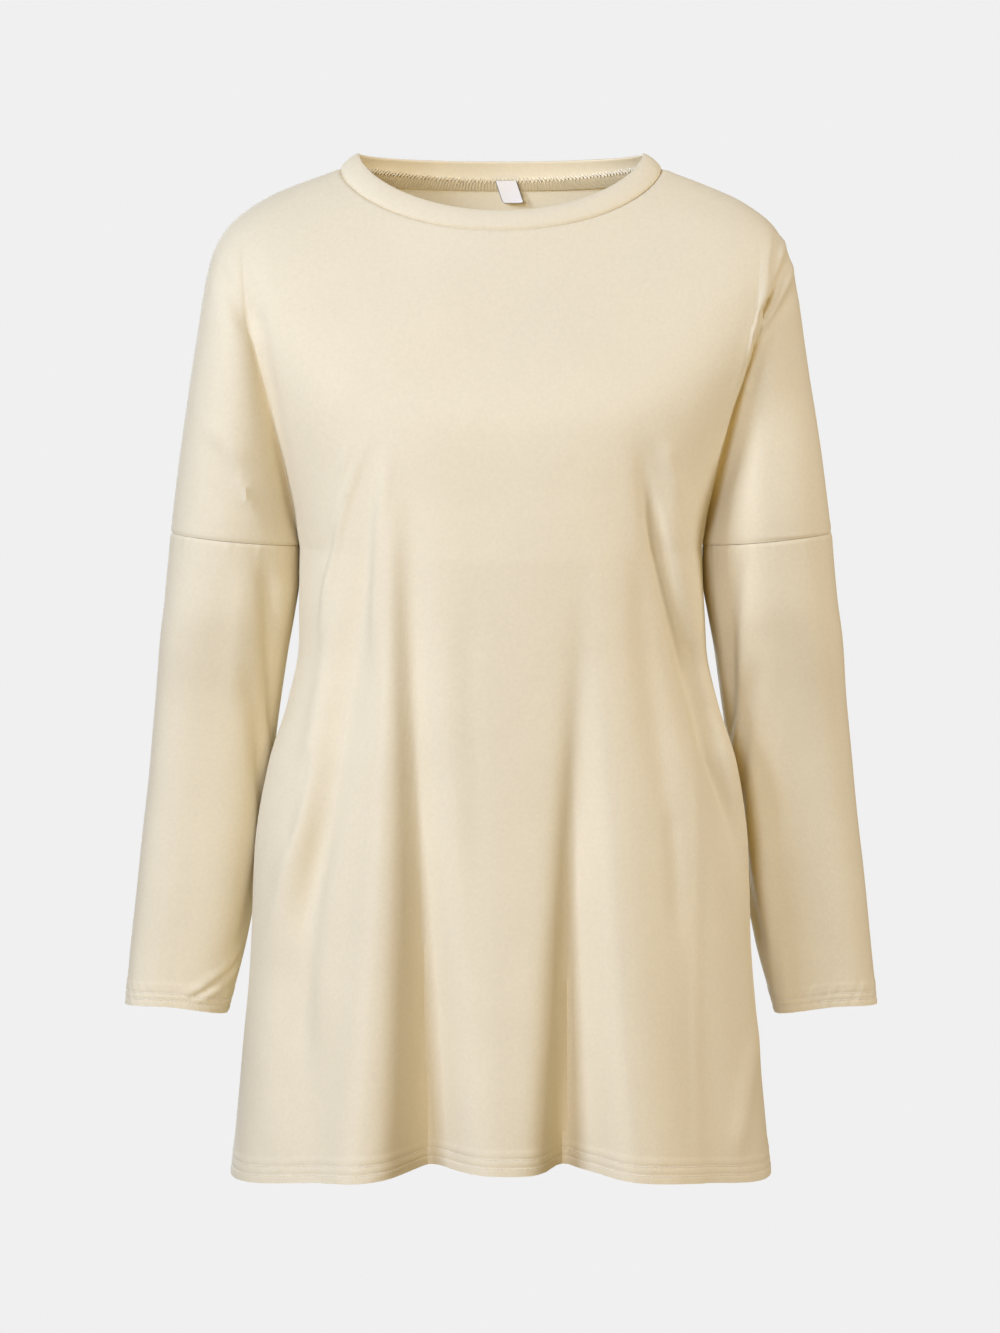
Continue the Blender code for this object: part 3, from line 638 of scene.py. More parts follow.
def panel_sheet(side, columns, hem_rise, lap, folds, creases):
    """The outer face of the front (side -1) or the back (side 1), and its hem rows."""
    fine_hem = [k * HEM_STEP / TORSO_LENGTH for k in range(1, HEM_FINE_COUNT + 1)]
    yoke_steps = steps_with_fine_ends(YOKE_STEPS, NECK_FINE_STEPS, DROP_FINE_STEPS)
    torso_steps = steps_with_fine_ends(TORSO_STEPS, (), fine_hem)
    yoke = np.array([np.stack(yoke_row(v, *columns), axis=1) for v in yoke_steps])
    across = yoke.shape[1]
    torso_columns = np.arange(ARM_COLUMNS, across - ARM_COLUMNS)
    top = yoke[-1, torso_columns]
    torso = np.array([np.stack(torso_row(w, top[:, 0], top[:, 2], columns[0], hem_rise), axis=1)
                      for w in torso_steps])
    yoke_count = yoke.shape[0] * across
    points = np.concatenate([yoke.reshape(-1, 3), torso[1:].reshape(-1, 3)])
    torso_quads = quads_of_grid(len(torso_steps), len(torso_columns))
    torso_index = np.concatenate([yoke_count - across + torso_columns,
                                  yoke_count + np.arange(torso[1:].size // 3)])
    layout = (yoke.shape, torso.shape, torso_index)
    quads = np.concatenate([quads_of_grid(len(yoke_steps), across), torso_index[torso_quads]])
    if side < 0:
        quads = quads[:, ::-1]
    depth = points[:, 1].copy()
    points[:, 1] *= side
    if lap:
        points[:, 1] -= side * lap_depth(lap, points[:, 0], points[:, 2], depth)
    height = fold_height(folds, points[:, 0], points[:, 2])
    height *= smooth_step(depth / FOLD_EDGE_DEPTH)
    points += height[:, None] * point_normals(points, quads)
    relief = crease_height(creases, points[:, 0], points[:, 2])
    relief *= smooth_step(depth / CREASE_EDGE_DEPTH)
    relief += panel_relief(points, layout, side)
    points += relief[:, None] * point_normals(points, quads)
    inward = -point_normals(points, quads)
    last_row = yoke_count - across + np.arange(across)
    level(inward, np.concatenate([last_row[:ARM_COLUMNS], last_row[-ARM_COLUMNS:]]))
    inward[last_row[[ARM_COLUMNS, -1 - ARM_COLUMNS]]] = (0, -side, 0)
    cloth, to_hem = panel_cloth(points, layout)
    wall = WALL + HEM_EXTRA_WALL * smooth_step((HEM_TURNING - to_hem) / EXTRA_WALL_FADE)
    rows = torso_index.reshape(torso.shape[:2])
    hem_rows = [rows[-1 - round(row / HEM_STEP)] for row in HEM_ROWS]
    return Sheet(points, quads, inward, cloth, wall), hem_rows


def panel_lengths(points, layout):
    """Lengths down and across the yoke, then the torso; they share the row of the underarm."""
    yoke_shape, torso_shape, torso_index = layout
    yoke = points[:yoke_shape[0] * yoke_shape[1]].reshape(yoke_shape)
    torso = points[torso_index].reshape(torso_shape)
    return [run_lengths(grid, axis) for grid in (yoke, torso) for axis in (0, 1)]


def panel_relief(points, layout, side):
    """Seams, hem and slight unevenness of a panel."""
    from_neck, from_left, down, across = panel_lengths(points, layout)
    to_end = np.minimum(from_left, from_left[:, -1:] - from_left)
    arm = np.zeros(from_left.shape[1], bool)
    arm[:ARM_COLUMNS + 1] = arm[-1 - ARM_COLUMNS:] = True
    drop = seam_relief("drop", from_neck[-1:] - from_neck, from_left, side)
    yoke_relief = seam_relief("shoulder", to_end) + seam_relief("neck", from_neck, from_left)
    yoke_relief += np.where(arm[None, :], drop, 0.0)
    to_side = np.minimum(across, across[:, -1:] - across)
    torso_relief = seam_relief("side", to_side, down, side)
    torso_relief += hem_relief(down[-1:] - down, across, HEM_ROWS, HEM_SEED + side)
    relief = np.zeros(len(points))
    relief[:yoke_relief.size] = yoke_relief.reshape(-1)
    relief[yoke_relief.size:] = torso_relief[1:].reshape(-1)
    x, z = points[:, 0], points[:, 2]
    sway = PANEL_SWAY * np.sin(z / PANEL_SWAY_LENGTH)
    relief += (PANEL_UNEVEN * np.sin(x / PANEL_WAVE_ACROSS + sway)
               * np.sin(z / PANEL_WAVE_DOWN + side))
    return relief


def panel_cloth(points, layout):
    """Cloth lengths across and down a panel at each point, and the distance to the hem."""
    from_neck, from_left, down, across = panel_lengths(points, layout)
    torso_index = layout[-1]
    cloth = np.zeros((len(points), 2))
    to_hem = np.full(len(points), 1.0)
    for lengths, index in ((from_left, np.arange(from_left.size)), (across, torso_index)):
        middle = lengths[:, lengths.shape[1] // 2]
        cloth[index, 0] = (lengths - middle[:, None]).reshape(-1)
    cloth[:from_neck.size, 1] = from_neck.reshape(-1)
    start = cloth[torso_index[:down.shape[1]], 1]
    cloth[torso_index, 1] = (down + start[None, :]).reshape(-1)
    to_hem[torso_index] = (down[-1:] - down).reshape(-1)
    return cloth, to_hem


def sleeve_push(folds, along, turn):
    """How far the folds of a sleeve push its cloth out."""
    push = np.zeros((len(along), len(turn)))
    for fold in rows_of(folds, SLEEVE_FOLD_NAMES):
        t = (along - fold["start"]) / (fold["end"] - fold["start"])
        apart = (np.degrees(turn) - fold["angle"] - fold["turn"] * t + 180) % 360 - 180
        inside = smooth_step(t / SLEEVE_FOLD_FADE) * smooth_step((1 - t) / SLEEVE_FOLD_FADE)
        push += fold["height"] * inside * bell(apart, fold["width"])
    return push * smooth_step(along / SLEEVE_FOLD_START)


def sleeve_sheet(side, creases):
    """The outer face of the left (side -1) or right (side 1) sleeve, and its hem rows."""
    fine_cuff = [k * CUFF_STEP / SLEEVE_LENGTH for k in range(1, CUFF_FINE_COUNT + 1)]
    along = steps_with_fine_ends(SLEEVE_STEPS, SLEEVE_FINE_STEPS, fine_cuff)[:, None]
    turn = full_turn(SLEEVE_COLUMNS)
    outer_z = DROP_ROW["side_z"] + (CUFF_OUTER_Z - DROP_ROW["side_z"]) * along[:, 0]
    at = read_table(SLEEVE, SLEEVE_NAMES, outer_z, falling=True)
    middle_x = (at["outer_x"] + at["inner_x"])[:, None] / 2
    half_x = (at["outer_x"] - at["inner_x"])[:, None] / 2
    power = 2 + (SLEEVE_ROUND - 2) * smooth_step(along / SLEEVE_ROUNDING)
    radius = (np.abs(np.cos(turn))**power + np.abs(np.sin(turn))**power)**(-1 / power)
    x = middle_x + half_x * radius * np.cos(turn)
    y = at["middle_y"][:, None] - at["half_y"][:, None] * radius * np.sin(turn)
    cuff_z = CUFF_OUTER_Z - CUFF_INNER_DROP * (1 - np.cos(turn)) / 2
    cuff_z += CUFF_FRONT_RISE * np.maximum(np.sin(turn), 0.0)**2
    z = (1 - along) * (drop_seam_z(x[0]) - SEAM_GAP) + along * cuff_z
    grid = np.stack([side * x, y, z], axis=2)
    around = np.broadcast_to(turn * half_x, x.shape)
    down = run_lengths(grid, 0)
    to_cuff = down[-1:] - down
    relief = seam_relief("sleeve_top", down, around, side)
    relief += hem_relief(to_cuff, around, CUFF_ROWS, CUFF_SEED + side)
    relief += (SLEEVE_UNEVEN * np.sin(SLEEVE_WAVES_ROUND * turn + z / SLEEVE_WAVE_SLANT)
               * np.sin(z / SLEEVE_WAVE_DOWN + side))
    relief += seam_relief("underarm", np.abs(turn - math.pi) * half_x)
    relief += sleeve_push(SLEEVE_FOLDS + creases, along, turn)
    points = grid.reshape(-1, 3)
    quads = quads_of_grid(len(along), SLEEVE_COLUMNS, wrap=True)
    if side < 0:
        quads = quads[:, ::-1]
    points = points + relief.reshape(-1, 1) * point_normals(points, quads)
    inward = -point_normals(points, quads)
    level(inward, np.arange(SLEEVE_COLUMNS))
    cloth = np.stack([around, down], axis=2).reshape(-1, 2)
    wall = WALL + CUFF_EXTRA_WALL * smooth_step((HEM_TURNING - to_cuff) / EXTRA_WALL_FADE)
    rows = np.arange(len(points)).reshape(x.shape)
    cuff_rows = [rows[-1 - round(row / CUFF_STEP)] for row in CUFF_ROWS]
    return Sheet(points, quads, inward, cloth, wall.reshape(-1)), cuff_rows


def ring(half_width, side_z, front, back, turn):
    """A ring round the neck; front and back are (depth, z) at the middle."""
    sine = np.sin(turn)
    depth = np.where(sine >= 0, front[0], back[0])
    middle_z = np.where(sine >= 0, front[1], back[1])
    sag = np.abs(sine)**(2 * NECK_SAG_POWER)
    return np.stack([half_width * np.cos(turn), -depth * sine,
                     side_z + (middle_z - side_z) * sag], axis=1)


def yoke_ring(row, turn):
    """A ring round the neck at a row of the yoke."""
    return ring(row["side_x"], row["side_z"], (row["front_y"], row["front_z"]),
                (row["back_y"], row["back_z"]), turn)


def band_rings(turn):
    """The seam ring and the top ring of the neckband, the way out from it, and lengths round it."""
    low = yoke_ring(NECK_ROW, turn)
    high = ring(BAND_TOP_HALF_WIDTH, BAND_TOP_Z, BAND_TOP_FRONT, BAND_TOP_BACK, turn)
    low = low + SEAM_GAP * unit(high - low)
    ahead = np.roll(low, -1, axis=0) - np.roll(low, 1, axis=0)
    outward = unit(np.cross(ahead, high - low))
    radial = np.stack([np.cos(turn), -np.sin(turn), 0 * turn], axis=1)
    outward *= np.sign(np.sum(outward * radial, axis=1))[:, None]
    around = run_lengths(np.concatenate([low, low[:1]]), 0)[:-1]
    return low, high, outward, around


# ---- meshes ----
def mesh_from(name, points, faces, material, cloth=None, sharp_angle=SHARP_ANGLE):
    """A smooth-shaded object from points and quads; cloth gives each point's place on the cloth."""
    mesh = bpy.data.meshes.new(name)
    mesh.from_pydata(points.tolist(), [], faces.tolist())
    if cloth is not None:
        layer = mesh.uv_layers.new(name="cloth")
        loops = np.empty(len(mesh.loops), np.int32)
        mesh.loops.foreach_get("vertex_index", loops)
        layer.data.foreach_set("uv", cloth[loops].astype(np.float32).reshape(-1))
    mesh.shade_smooth()
    mesh.set_sharp_from_angle(angle=math.radians(sharp_angle))
    mesh.materials.append(material)
    piece = bpy.data.objects.new(name, mesh)
    bpy.context.scene.collection.objects.link(piece)
    return piece


def wall_piece(name, sheet, material, keep_side=0):
    """Close a sheet into a wall of cloth."""
    inner = sheet.points + sheet.wall[:, None] * sheet.inward
    both = np.concatenate([sheet.points, inner])
    if keep_side:
        both[:, 1] = keep_side * np.maximum(keep_side * both[:, 1], SIDE_GAP / 2)
    count = len(sheet.points)
    quads = sheet.quads
    edges = np.concatenate([quads[:, [k, (k + 1) % 4]] for k in range(4)])
    code = edges[:, 0].astype(np.int64) * count + edges[:, 1]
    back_code = edges[:, 1].astype(np.int64) * count + edges[:, 0]
    rim = edges[~np.isin(code, back_code)]
    rims = np.stack([rim[:, 1], rim[:, 0], rim[:, 0] + count, rim[:, 1] + count], axis=1)
    faces = np.concatenate([quads, quads[:, ::-1] + count, rims])
    return mesh_from(name, both, faces, material, np.concatenate([sheet.cloth] * 2))


def ring_piece(name, rows, around, material):
    """A closed ring of cloth, from the rows of points that follow one another round its section."""
    points = np.stack(rows)
    count, columns = points.shape[:2]
    first = np.arange(columns)
    last = (count - 1) * columns + first
    closing = np.stack([last, np.roll(last, -1), np.roll(first, -1), first], axis=1)
    faces = np.concatenate([quads_of_grid(count, columns, wrap=True), closing])
    down = run_lengths(points, 0)
    cloth = np.stack([np.broadcast_to(around, down.shape), down], axis=2).reshape(-1, 2)
    return mesh_from(name, points.reshape(-1, 3), faces, material, cloth, RING_SHARP_ANGLE)


def tube(path, radius):
    """Points and quads of a thread along a path, nearly closed at both ends."""
    ahead = unit(np.gradient(path, axis=0))
    upright = abs(ahead[:, 2]).mean() >= UPRIGHT
    right = unit(np.cross(ahead, (0.0, 1.0, 0.0) if upright else (0.0, 0.0, 1.0)))
    over = np.cross(right, ahead)
    taper = np.ones(len(path))
    taper[[0, -1]] = THREAD_TIP
    turn = full_turn(THREAD_SIDES)[None, :, None]
    section = np.cos(turn) * right[:, None] + np.sin(turn) * over[:, None]
    points = path[:, None] + radius * taper[:, None, None] * section
    return points.reshape(-1, 3), quads_of_grid(len(path), THREAD_SIDES, wrap=True)


def joined_tubes(name, paths, radius, material):
    """Many threads as one object."""
    all_points, all_quads, start = [], [], 0
    for path in paths:
        points, quads = tube(path, radius)
        all_points.append(points)
        all_quads.append(quads + start)
        start += len(points)
    return mesh_from(name, np.concatenate(all_points), np.concatenate(all_quads), material,
                     sharp_angle=SMOOTH_ANGLE)


def read_line(places, run, line):
    """Points of a line at the given lengths along it."""
    return np.stack([np.interp(places, run, line[:, a]) for a in range(3)], axis=1)


def stitch_paths(line, out, closed):
    """Short stitches along a line that lies on cloth; out points away from the cloth."""
    if closed:
        line = np.concatenate([line, line[:1]])
        out = np.concatenate([out, out[:1]])
    run = run_lengths(line, 0)
    count = int(run[-1] / STITCH_PITCH)
    lift = THREAD_RADIUS * np.array(STITCH_ARCH)[:, None]
    paths = []
    for k in range(count):
        start = (k + STITCH_START) * run[-1] / count
        places = start + np.linspace(0, STITCH_LENGTH, len(STITCH_ARCH))
        paths.append(read_line(places, run, line) + read_line(places, run, out) * lift)
    return paths


# ---- materials ----
CREAM = (0.82, 0.727, 0.515)
# painted shade: the seam allowance is the same cream jersey, drawn darker and warmer for the shadow
# it lies in under the neckband
ALLOWANCE_PAINTED_SHADE_CREAM = (0.58, 0.48, 0.29)
THREAD_CREAM = (0.80, 0.745, 0.61)
OVERLOCK_CREAM = (0.97, 0.87, 0.64)
TAPE_WHITE = (0.86, 0.84, 0.82)
TAPE_EDGE = (0.20, 0.19, 0.17)
BAND_KNIT = 0.8              # the band's knit shows less, because it is stretched
DYE_STOPS = ((0.36, 0.93), (0.64, 1.0))      # place on the ramp, and share of the colour


def new_material(name):
    """A material with its node tree and its shader."""
    material = bpy.data.materials.new(name)
    material.use_nodes = True
    tree = material.node_tree
    return material, tree, tree.nodes["Principled BSDF"]


def feed(tree, node, inputs):
    """Give each named input of a node its value, or the output that it reads."""
    for socket, value in inputs.items():
        if isinstance(value, bpy.types.NodeSocket):
            tree.links.new(value, node.inputs[socket])
        else:
            node.inputs[socket].default_value = value


def add_node(tree, kind, output, inputs, **settings):
    """Add a shader node with its settings and inputs, and give one of its outputs."""
    node = tree.nodes.new("ShaderNode" + kind)
    for name, value in settings.items():
        setattr(node, name, value)
    feed(tree, node, inputs)
    return node.outputs[output]


def bump(tree, height, strength, depth, **under):
    """A bump from a height, over the normal of another one where that is given."""
    return add_node(tree, "Bump", "Normal", {
        "Height": height, "Strength": strength, "Distance": depth, **under})


def mixed(tree, a, b, share):
    """Two heights or shades mixed; share is how much of the second there is."""
    return add_node(tree, "Mix", "Result", {"Factor": share, "A": a, "B": b})


def jersey_material(name, colour, knit=1.0):
    """Fine matte jersey: wales and courses as bump, slight slubs and uneven dye."""
    material, tree, shader = new_material(name)
    cloth = add_node(tree, "UVMap", "UV", {}, uv_map="cloth")
    place = add_node(tree, "TexCoord", "Object", {})
    wales = add_node(tree, "TexWave", "Fac", {
        "Vector": cloth, "Scale": 300.0, "Distortion": 1.2, "Detail": 2.0,
        "Detail Scale": 2.5}, bands_direction="X")
    courses = add_node(tree, "TexWave", "Fac", {
        "Vector": cloth, "Scale": 420.0, "Distortion": 1.5, "Detail": 2.0}, bands_direction="Y")
    slubs = add_node(tree, "TexNoise", "Fac", {
        "Vector": place, "Scale": 700.0, "Detail": 4.0, "Roughness": 0.65})
    rumple = add_node(tree, "TexNoise", "Fac", {"Vector": place, "Scale": 42.0, "Detail": 3.0})
    dye = add_node(tree, "TexNoise", "Fac", {"Vector": place, "Scale": 9.0, "Detail": 6.0})
    heather = add_node(tree, "TexNoise", "Fac", {
        "Vector": place, "Scale": 380.0, "Detail": 3.0, "Roughness": 0.7})
    loops = mixed(tree, wales, courses, share=0.45)
    yarn = mixed(tree, loops, slubs, share=0.5)
    fine = bump(tree, yarn, strength=0.5 * knit, depth=0.25 * MM)
    ramp = tree.nodes.new("ShaderNodeValToRGB")
    feed(tree, ramp, {"Fac": mixed(tree, dye, heather, share=0.55)})
    for stop, (position, share) in zip(ramp.color_ramp.elements, DYE_STOPS):
        stop.position = position
        stop.color = (*[c * share for c in colour], 1)
    feed(tree, shader, {
        "Normal": bump(tree, rumple, strength=0.35, depth=1.2 * MM, Normal=fine),
        "Base Color": ramp.outputs["Color"], "Roughness": 0.88, "Specular IOR Level": 0.25,
        "Sheen Weight": 0.25, "Sheen Roughness": 0.45, "Sheen Tint": (1.0, 0.95, 0.86, 1)})
    return material


def thread_material(name, colour):
    """Spun thread: a little smoother than the cloth, twisted."""
    material, tree, shader = new_material(name)
    place = add_node(tree, "TexCoord", "Object", {})
    twist = add_node(tree, "TexNoise", "Fac", {"Vector": place, "Scale": 2500.0, "Detail": 2.0})
    feed(tree, shader, {"Normal": bump(tree, twist, strength=0.3, depth=0.1 * MM),
                        "Base Color": (*colour, 1), "Roughness": 0.6, "Sheen Weight": 0.2})
    return material


def label_material(name):
    """Smooth woven tape, blank, with a darker edge at its sides and foot."""
    material, tree, shader = new_material(name)
    place = add_node(tree, "TexCoord", "Object", {})
    weave = add_node(tree, "TexWave", "Fac", {"Vector": place, "Scale": 600.0,
                                              "Distortion": 0.5}, bands_direction="Z")
    cloth = add_node(tree, "UVMap", "UV", {}, uv_map="cloth")
    parts = tree.nodes.new("ShaderNodeSeparateXYZ")
    feed(tree, parts, {"Vector": cloth})
    across = add_node(tree, "Math", 0, {0: parts.outputs["X"]}, operation="ABSOLUTE")
    side_edge = add_node(tree, "Math", 0, {0: across, 1: LABEL_WIDTH / 2 - LABEL_BORDER},
                         operation="GREATER_THAN")
    low_edge = add_node(tree, "Math", 0, {0: parts.outputs["Y"], 1: LABEL_HEIGHT - LABEL_BORDER},
                        operation="GREATER_THAN")
    edge = add_node(tree, "Math", 0, {0: side_edge, 1: low_edge}, operation="MAXIMUM")
    dyed = add_node(tree, "Mix", "Result", {
        "Factor": edge, "A": (*TAPE_WHITE, 1), "B": (*TAPE_EDGE, 1)}, data_type="RGBA")
    feed(tree, shader, {"Normal": bump(tree, weave, strength=0.2, depth=0.1 * MM),
                        "Base Color": dyed, "Roughness": 0.5})
    return material


def finish_piece(piece, slot, *nodes):
    """Ride a piece on the shirt's one body and hide the part's pieces that it stands for."""
    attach(piece, "root")
    if nodes:
        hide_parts(*nodes)


def build_panels(jersey, thread):
    """The front and the back with their hem stitches."""
    rows = []
    for name, side, node, columns, rise, lap, folds, creases in (
            ("front_cloth", -1, "front_panel", FRONT_COLUMNS, HEM_FRONT_RISE,
             LAP, FRONT_FOLDS, FRONT_CREASES),
            ("back_cloth", 1, "back_panel", BACK_COLUMNS, HEM_BACK_RISE,
             (), BACK_FOLDS, BACK_CREASES)):
        sheet, hem_rows = panel_sheet(side, columns, rise, lap, folds, creases)
        finish_piece(wall_piece(name, sheet, jersey, keep_side=side), "jersey", node)
        for row in hem_rows:
            rows += stitch_paths(sheet.points[row], -sheet.inward[row], closed=False)
    finish_piece(joined_tubes("hem_stitches", rows, THREAD_RADIUS, thread), "jersey")


def build_sleeves(jersey, thread):
    """Both sleeves with their cuff stitches."""
    for node, side, creases in (("left_sleeve", -1, LEFT_SLEEVE_CREASES),
                                ("right_sleeve", 1, RIGHT_SLEEVE_CREASES)):
        sheet, cuff_rows = sleeve_sheet(side, creases)
        finish_piece(wall_piece(node + "_cloth", sheet, jersey), "jersey", node)
        rows = []
        for row in cuff_rows:
            rows += stitch_paths(sheet.points[row], -sheet.inward[row], closed=True)
        finish_piece(joined_tubes(node + "_stitches", rows, THREAD_RADIUS, thread), "jersey")


def build_band(jersey):
    """The neckband: doubled jersey folded over at the top, a little fuller than flat."""
    low, high, outward, around = band_rings(full_turn(BAND_COLUMNS))
    face_steps = np.linspace(0, 1, BAND_FACE_STEPS)[2:-1]
    profile = [(t, BAND_BULGE * math.sin(math.pi * t) - BAND_ROLL * bell(t, BAND_ROLL_REACH))
               for t in (*BAND_SEAM_STEPS, *face_steps)]
    profile += [(1 - BAND_FOLD + BAND_FOLD * math.sin(a), BAND_WALL / 2 * (math.cos(a) - 1))
                for a in np.linspace(0, math.pi, BAND_FOLD_STEPS)]
    profile += [(t, BAND_BULGE * math.sin(math.pi * t) * BAND_INNER_SHARE - BAND_WALL)
                for t in np.linspace(1 - BAND_FOLD, 0, BAND_INSIDE_STEPS)[1:]]
    rows = []
    for t, out in profile:
        wave = BAND_WAVE * ripple(around, BAND_SEED) * bell(t, BAND_WAVE_REACH)
        rows.append(low + (high - low) * t + outward * (out + wave)[:, None])
    finish_piece(ring_piece("neckband_cloth", rows, around, jersey), "band", "neckband")


def build_overlock(cloth, thread):
    """The overlocked seam inside the neck: a ribbed allowance that hangs from zigzag thread."""
    turn = full_turn(OVERLOCK_COLUMNS)
    low, high, outward, around = band_rings(turn)
    below = yoke_ring(read_row(YOKE, YOKE_NAMES, ALLOWANCE_PLACE), turn)
    drop = unit(below - low)
    rise = unit(high - low)
    to_side = np.cos(turn)**2
    climb = OVERLOCK_RISE + OVERLOCK_SIDE_RISE * to_side
    climb += OVERLOCK_WANDER * ripple(around, OVERLOCK_SEED)
    bulge = np.sin(math.pi * climb / np.linalg.norm(high - low, axis=1))
    inside = BAND_WALL - BAND_BULGE * bulge * BAND_INNER_SHARE
    top = low + rise * climb[:, None] - outward * (inside - OVERLOCK_SINK)[:, None]
    ribs = RIB_HEIGHT * np.sin(2 * math.pi * around / RIB_PITCH)
    hang = ALLOWANCE_DEPTH * (ALLOWANCE_HANG[0] + ALLOWANCE_HANG[1] * to_side)
    rows = []
    for share, out in ALLOWANCE_PROFILE:
        ribbed = ribs * math.sin(math.pi * share) * (out > 0)
        lie = low + drop * (share * hang)[:, None] - outward * (BAND_WALL + ALLOWANCE_STAND)
        rows.append(top * (1 - share) + lie * share - outward * (out * MM + ribbed)[:, None])
    # the allowance's cloth is drawn darker than the jersey: painted shade
    finish_piece(ring_piece("neck_seam_allowance", rows, around, cloth), "band")
    turns = np.arange(2 * int(around[-1] / ZIGZAG_PITCH) + 1)
    places = turns / turns[-1] * around[-1]
    swing = np.where(turns % 2 == 0, *ZIGZAG_REACH)
    path = read_line(places, around, top - outward * OVERLOCK_STAND)
    path += read_line(places, around, rise) * swing[:, None]
    finish_piece(joined_tubes("neck_overlock_thread", [path], OVERLOCK_RADIUS, thread), "band")


def build_label(tape):
    """The blank label inside the back, a little rounded at its free corners."""
    slope = ((BELOW_NECK_ROW["back_y"] - NECK_ROW["back_y"])
             / (BELOW_NECK_ROW["back_z"] - NECK_ROW["back_z"]))
    t, s = np.meshgrid(np.linspace(0, 1, LABEL_STEPS), np.linspace(-0.5, 0.5, LABEL_STEPS),
                       indexing="ij")
    to_side = np.maximum(np.abs(s) * 2 - 1 + LABEL_CORNER_ACROSS, 0) / LABEL_CORNER_ACROSS
    to_foot = np.maximum(t - 1 + LABEL_CORNER_DOWN, 0) / LABEL_CORNER_DOWN
    z = NECK_ROW["back_z"] + LABEL_RISE - LABEL_HEIGHT * (t - LABEL_CORNER_RISE * to_side * to_foot)
    x = LABEL_CENTRE_X + LABEL_WIDTH * s + LABEL_LEAN * (t - 0.5)
    y = NECK_ROW["back_y"] * superellipse(x / NECK_ROW["side_x"], 2.0)
    y += slope * (z - NECK_ROW["back_z"]) - LABEL_STAND - LABEL_CURL * t**2 * (0.5 + s)
    points = np.stack([x, y, z], axis=2).reshape(-1, 3)
    quads = quads_of_grid(LABEL_STEPS, LABEL_STEPS)
    cloth = np.stack([LABEL_WIDTH * s, LABEL_HEIGHT * t], axis=2).reshape(-1, 2)
    sheet = Sheet(points, quads, -point_normals(points, quads), cloth,
                  np.full(len(points), LABEL_WALL))
    finish_piece(wall_piece("neck_label_tape", sheet, tape), "label", "neck_label")


def build_shirt():
    """All the pieces of the shirt, and their materials."""
    jersey = jersey_material("cream_jersey", CREAM)
    band_jersey = jersey_material("cream_band_jersey", CREAM, BAND_KNIT)
    # the seam allowance's material carries painted shade: the cream drawn darker for the shadow
    # inside the neck
    allowance_painted_shade_jersey = jersey_material("cream_seam_allowance_painted_shade", ALLOWANCE_PAINTED_SHADE_CREAM)
    thread = thread_material("cream_thread", THREAD_CREAM)
    overlock_thread = thread_material("cream_overlock_thread", OVERLOCK_CREAM)
    build_panels(jersey, thread)
    build_sleeves(jersey, thread)
    build_band(band_jersey)
    build_overlock(allowance_painted_shade_jersey, overlock_thread)
    build_label(label_material("label_tape"))


# ---- floor, light and camera ----
PAPER = 0.871                # linear grey of the pale studio
STUDIO_RADIUS = 9.0
STUDIO_SIDES = 64
FLOOR_Z = -1.43              # a standing wearer's floor
FLOOR_BEND = 0.3             # where the floor turns up into the backdrop
ROOF_EDGE_Z = 6.0
ROOF_Z = 8.0
STUDIO_MIDDLE = 0.0001       # radius of the closed middle of the floor and of the roof
SKY_LIGHT = (0.655, 0.770, 1.055)      # cool light from the lamps
SIDE_LIGHT = (0.92, 0.91, 0.98)        # the lamp at the right, which also reaches the folds
BACK_LIGHT = (0.66, 0.78, 1.00)        # the lamp behind is a little less cool
NECK_LIGHT = (1.0, 0.84, 0.50)         # light that comes through the thin cloth
WARM_LIGHT = (0.98, 0.70, 0.27)        # warm light from all round, which fills the troughs
WARM_STRENGTH = 0.21
LAMP_NAMES = ("name", "place", "aim", "size", "power", "colour")
LAMPS = (
    ("key", (-2.25, -2.1, 1.1), (0, 0, -0.32), 1.0, 80, SKY_LIGHT),
    ("front", (-0.8, -2.9, 0.6), (0, 0, -0.36), 0.7, 46, SKY_LIGHT),
    ("fill", (0.3, -2.95, -0.35), (0, 0, -0.38), 0.9, 17, WARM_LIGHT),
    ("side", (2.9, -0.1, 0.5), (0, 0, -0.35), 0.8, 44, SIDE_LIGHT),
    ("back", (-0.9, 2.9, 0.9), (0, 0, -0.35), 1.4, 105, BACK_LIGHT),
    ("through_cloth", (0.0, -0.025, -0.15), (0.01, 0.085, 0.0), 0.08, 0.07, NECK_LIGHT),
)
CAMERA_DISTANCE = 2.2
CAMERA_PITCH = 5.0           # degrees down
CAMERA_AIM = (-0.0007, 0.0, -0.360)
CAMERA_LENS = 110.0          # millimetres, as is the width of the sensor
CAMERA_SENSOR = 36.0


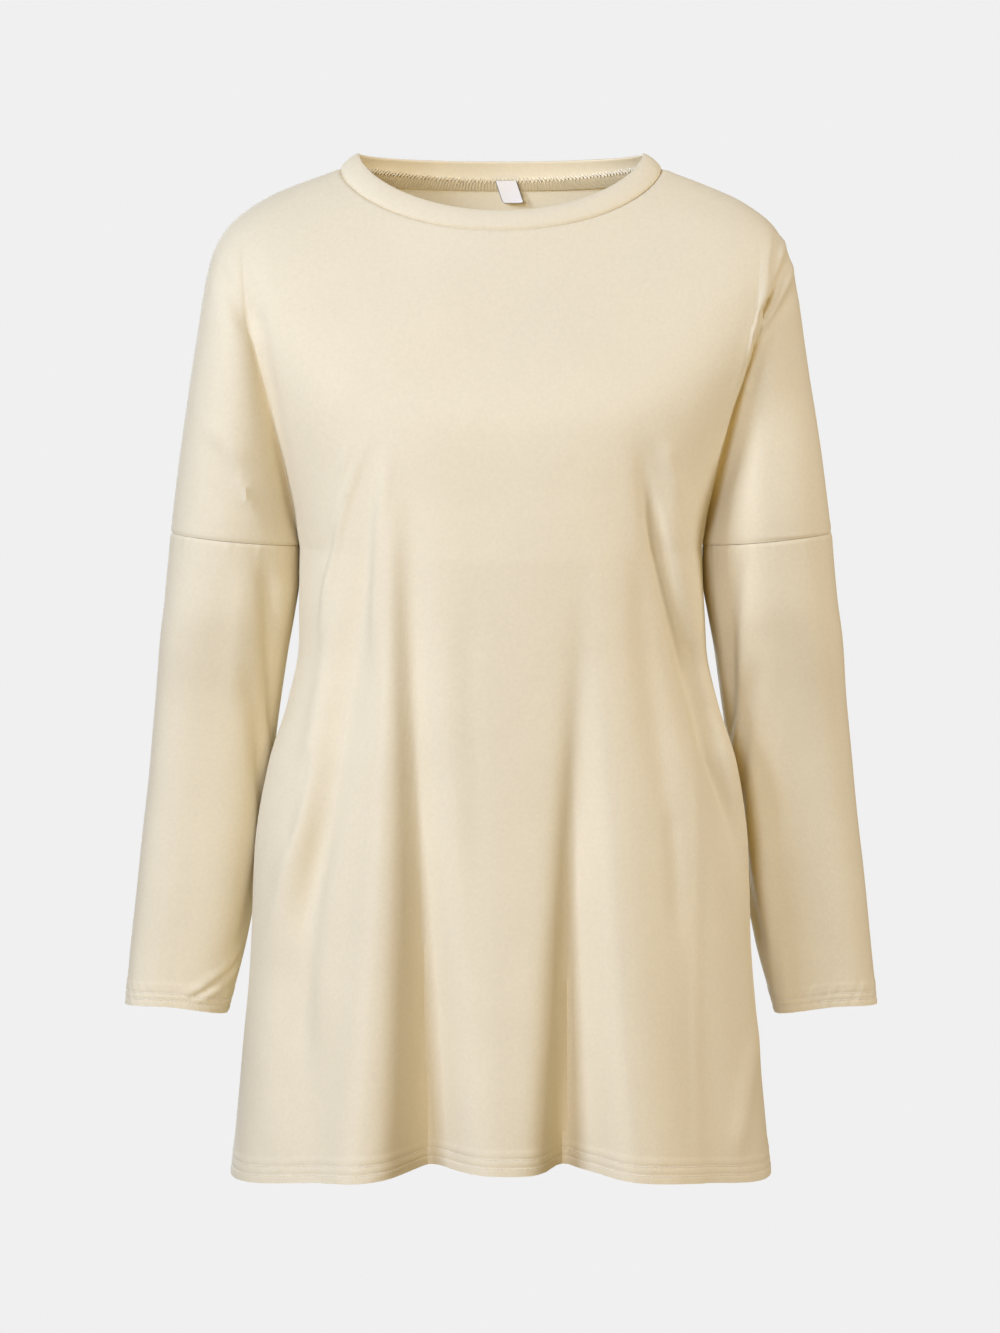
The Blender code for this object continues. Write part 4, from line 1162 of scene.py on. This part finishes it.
def studio():
    """A pale floor with a round backdrop, evenly lit, that casts no light on the shirt."""
    material = bpy.data.materials.new("studio_paper")
    material.use_nodes = True
    tree = material.node_tree
    tree.nodes.clear()
    glow = add_node(tree, "Emission", 0, {"Color": (PAPER, PAPER, PAPER, 1)})
    feed(tree, tree.nodes.new("ShaderNodeOutputMaterial"), {"Surface": glow})
    turn = full_turn(STUDIO_SIDES)
    rings = ((STUDIO_MIDDLE, FLOOR_Z), (STUDIO_RADIUS - 1, FLOOR_Z),
             (STUDIO_RADIUS - FLOOR_BEND, FLOOR_Z + FLOOR_BEND), (STUDIO_RADIUS, FLOOR_Z + 1),
             (STUDIO_RADIUS, ROOF_EDGE_Z), (STUDIO_MIDDLE, ROOF_Z))
    points = np.concatenate([np.stack([r * np.cos(turn), r * np.sin(turn), 0 * turn + z], axis=1)
                             for r, z in rings])
    faces = quads_of_grid(len(rings), STUDIO_SIDES, wrap=True)
    paper = mesh_from("studio_paper", points, faces, material)
    for ray in ("visible_diffuse", "visible_glossy", "visible_transmission", "visible_shadow"):
        setattr(paper, ray, False)


def area_light(name, place, aim, size, power, colour):
    """A soft square light."""
    data = bpy.data.lights.new(name, "AREA")
    data.shape = "SQUARE"
    data.size = size
    data.energy = power
    data.color = colour
    light = bpy.data.objects.new(name, data)
    bpy.context.scene.collection.objects.link(light)
    light.location = place
    light.rotation_euler = (Vector(aim) - Vector(place)).to_track_quat("-Z", "Y").to_euler()


def lights():
    """A soft key from the upper left front, a weak warm fill and a warm surround."""
    for lamp in rows_of(LAMPS, LAMP_NAMES):
        area_light(**lamp)
    world = bpy.data.worlds.new("surround")
    bpy.context.scene.world = world
    world.use_nodes = True
    feed(world.node_tree, world.node_tree.nodes["Background"],
         {"Color": (*WARM_LIGHT, 1), "Strength": WARM_STRENGTH})


def camera():
    """The photograph's straight front view, from a little above the chest."""
    data = bpy.data.cameras.new("camera")
    data.sensor_fit = "HORIZONTAL"
    data.sensor_width = CAMERA_SENSOR
    data.lens = CAMERA_LENS
    eye = bpy.data.objects.new("camera", data)
    bpy.context.scene.collection.objects.link(eye)
    pitch = math.radians(CAMERA_PITCH)
    eye.location = (CAMERA_AIM[0], CAMERA_AIM[1] - CAMERA_DISTANCE * math.cos(pitch),
                    CAMERA_AIM[2] + CAMERA_DISTANCE * math.sin(pitch))
    eye.rotation_euler = (math.pi / 2 - pitch, 0, 0)
    bpy.context.scene.camera = eye


build_shirt()
studio()
lights()
camera()
bpy.context.scene.view_settings.view_transform = "Standard"
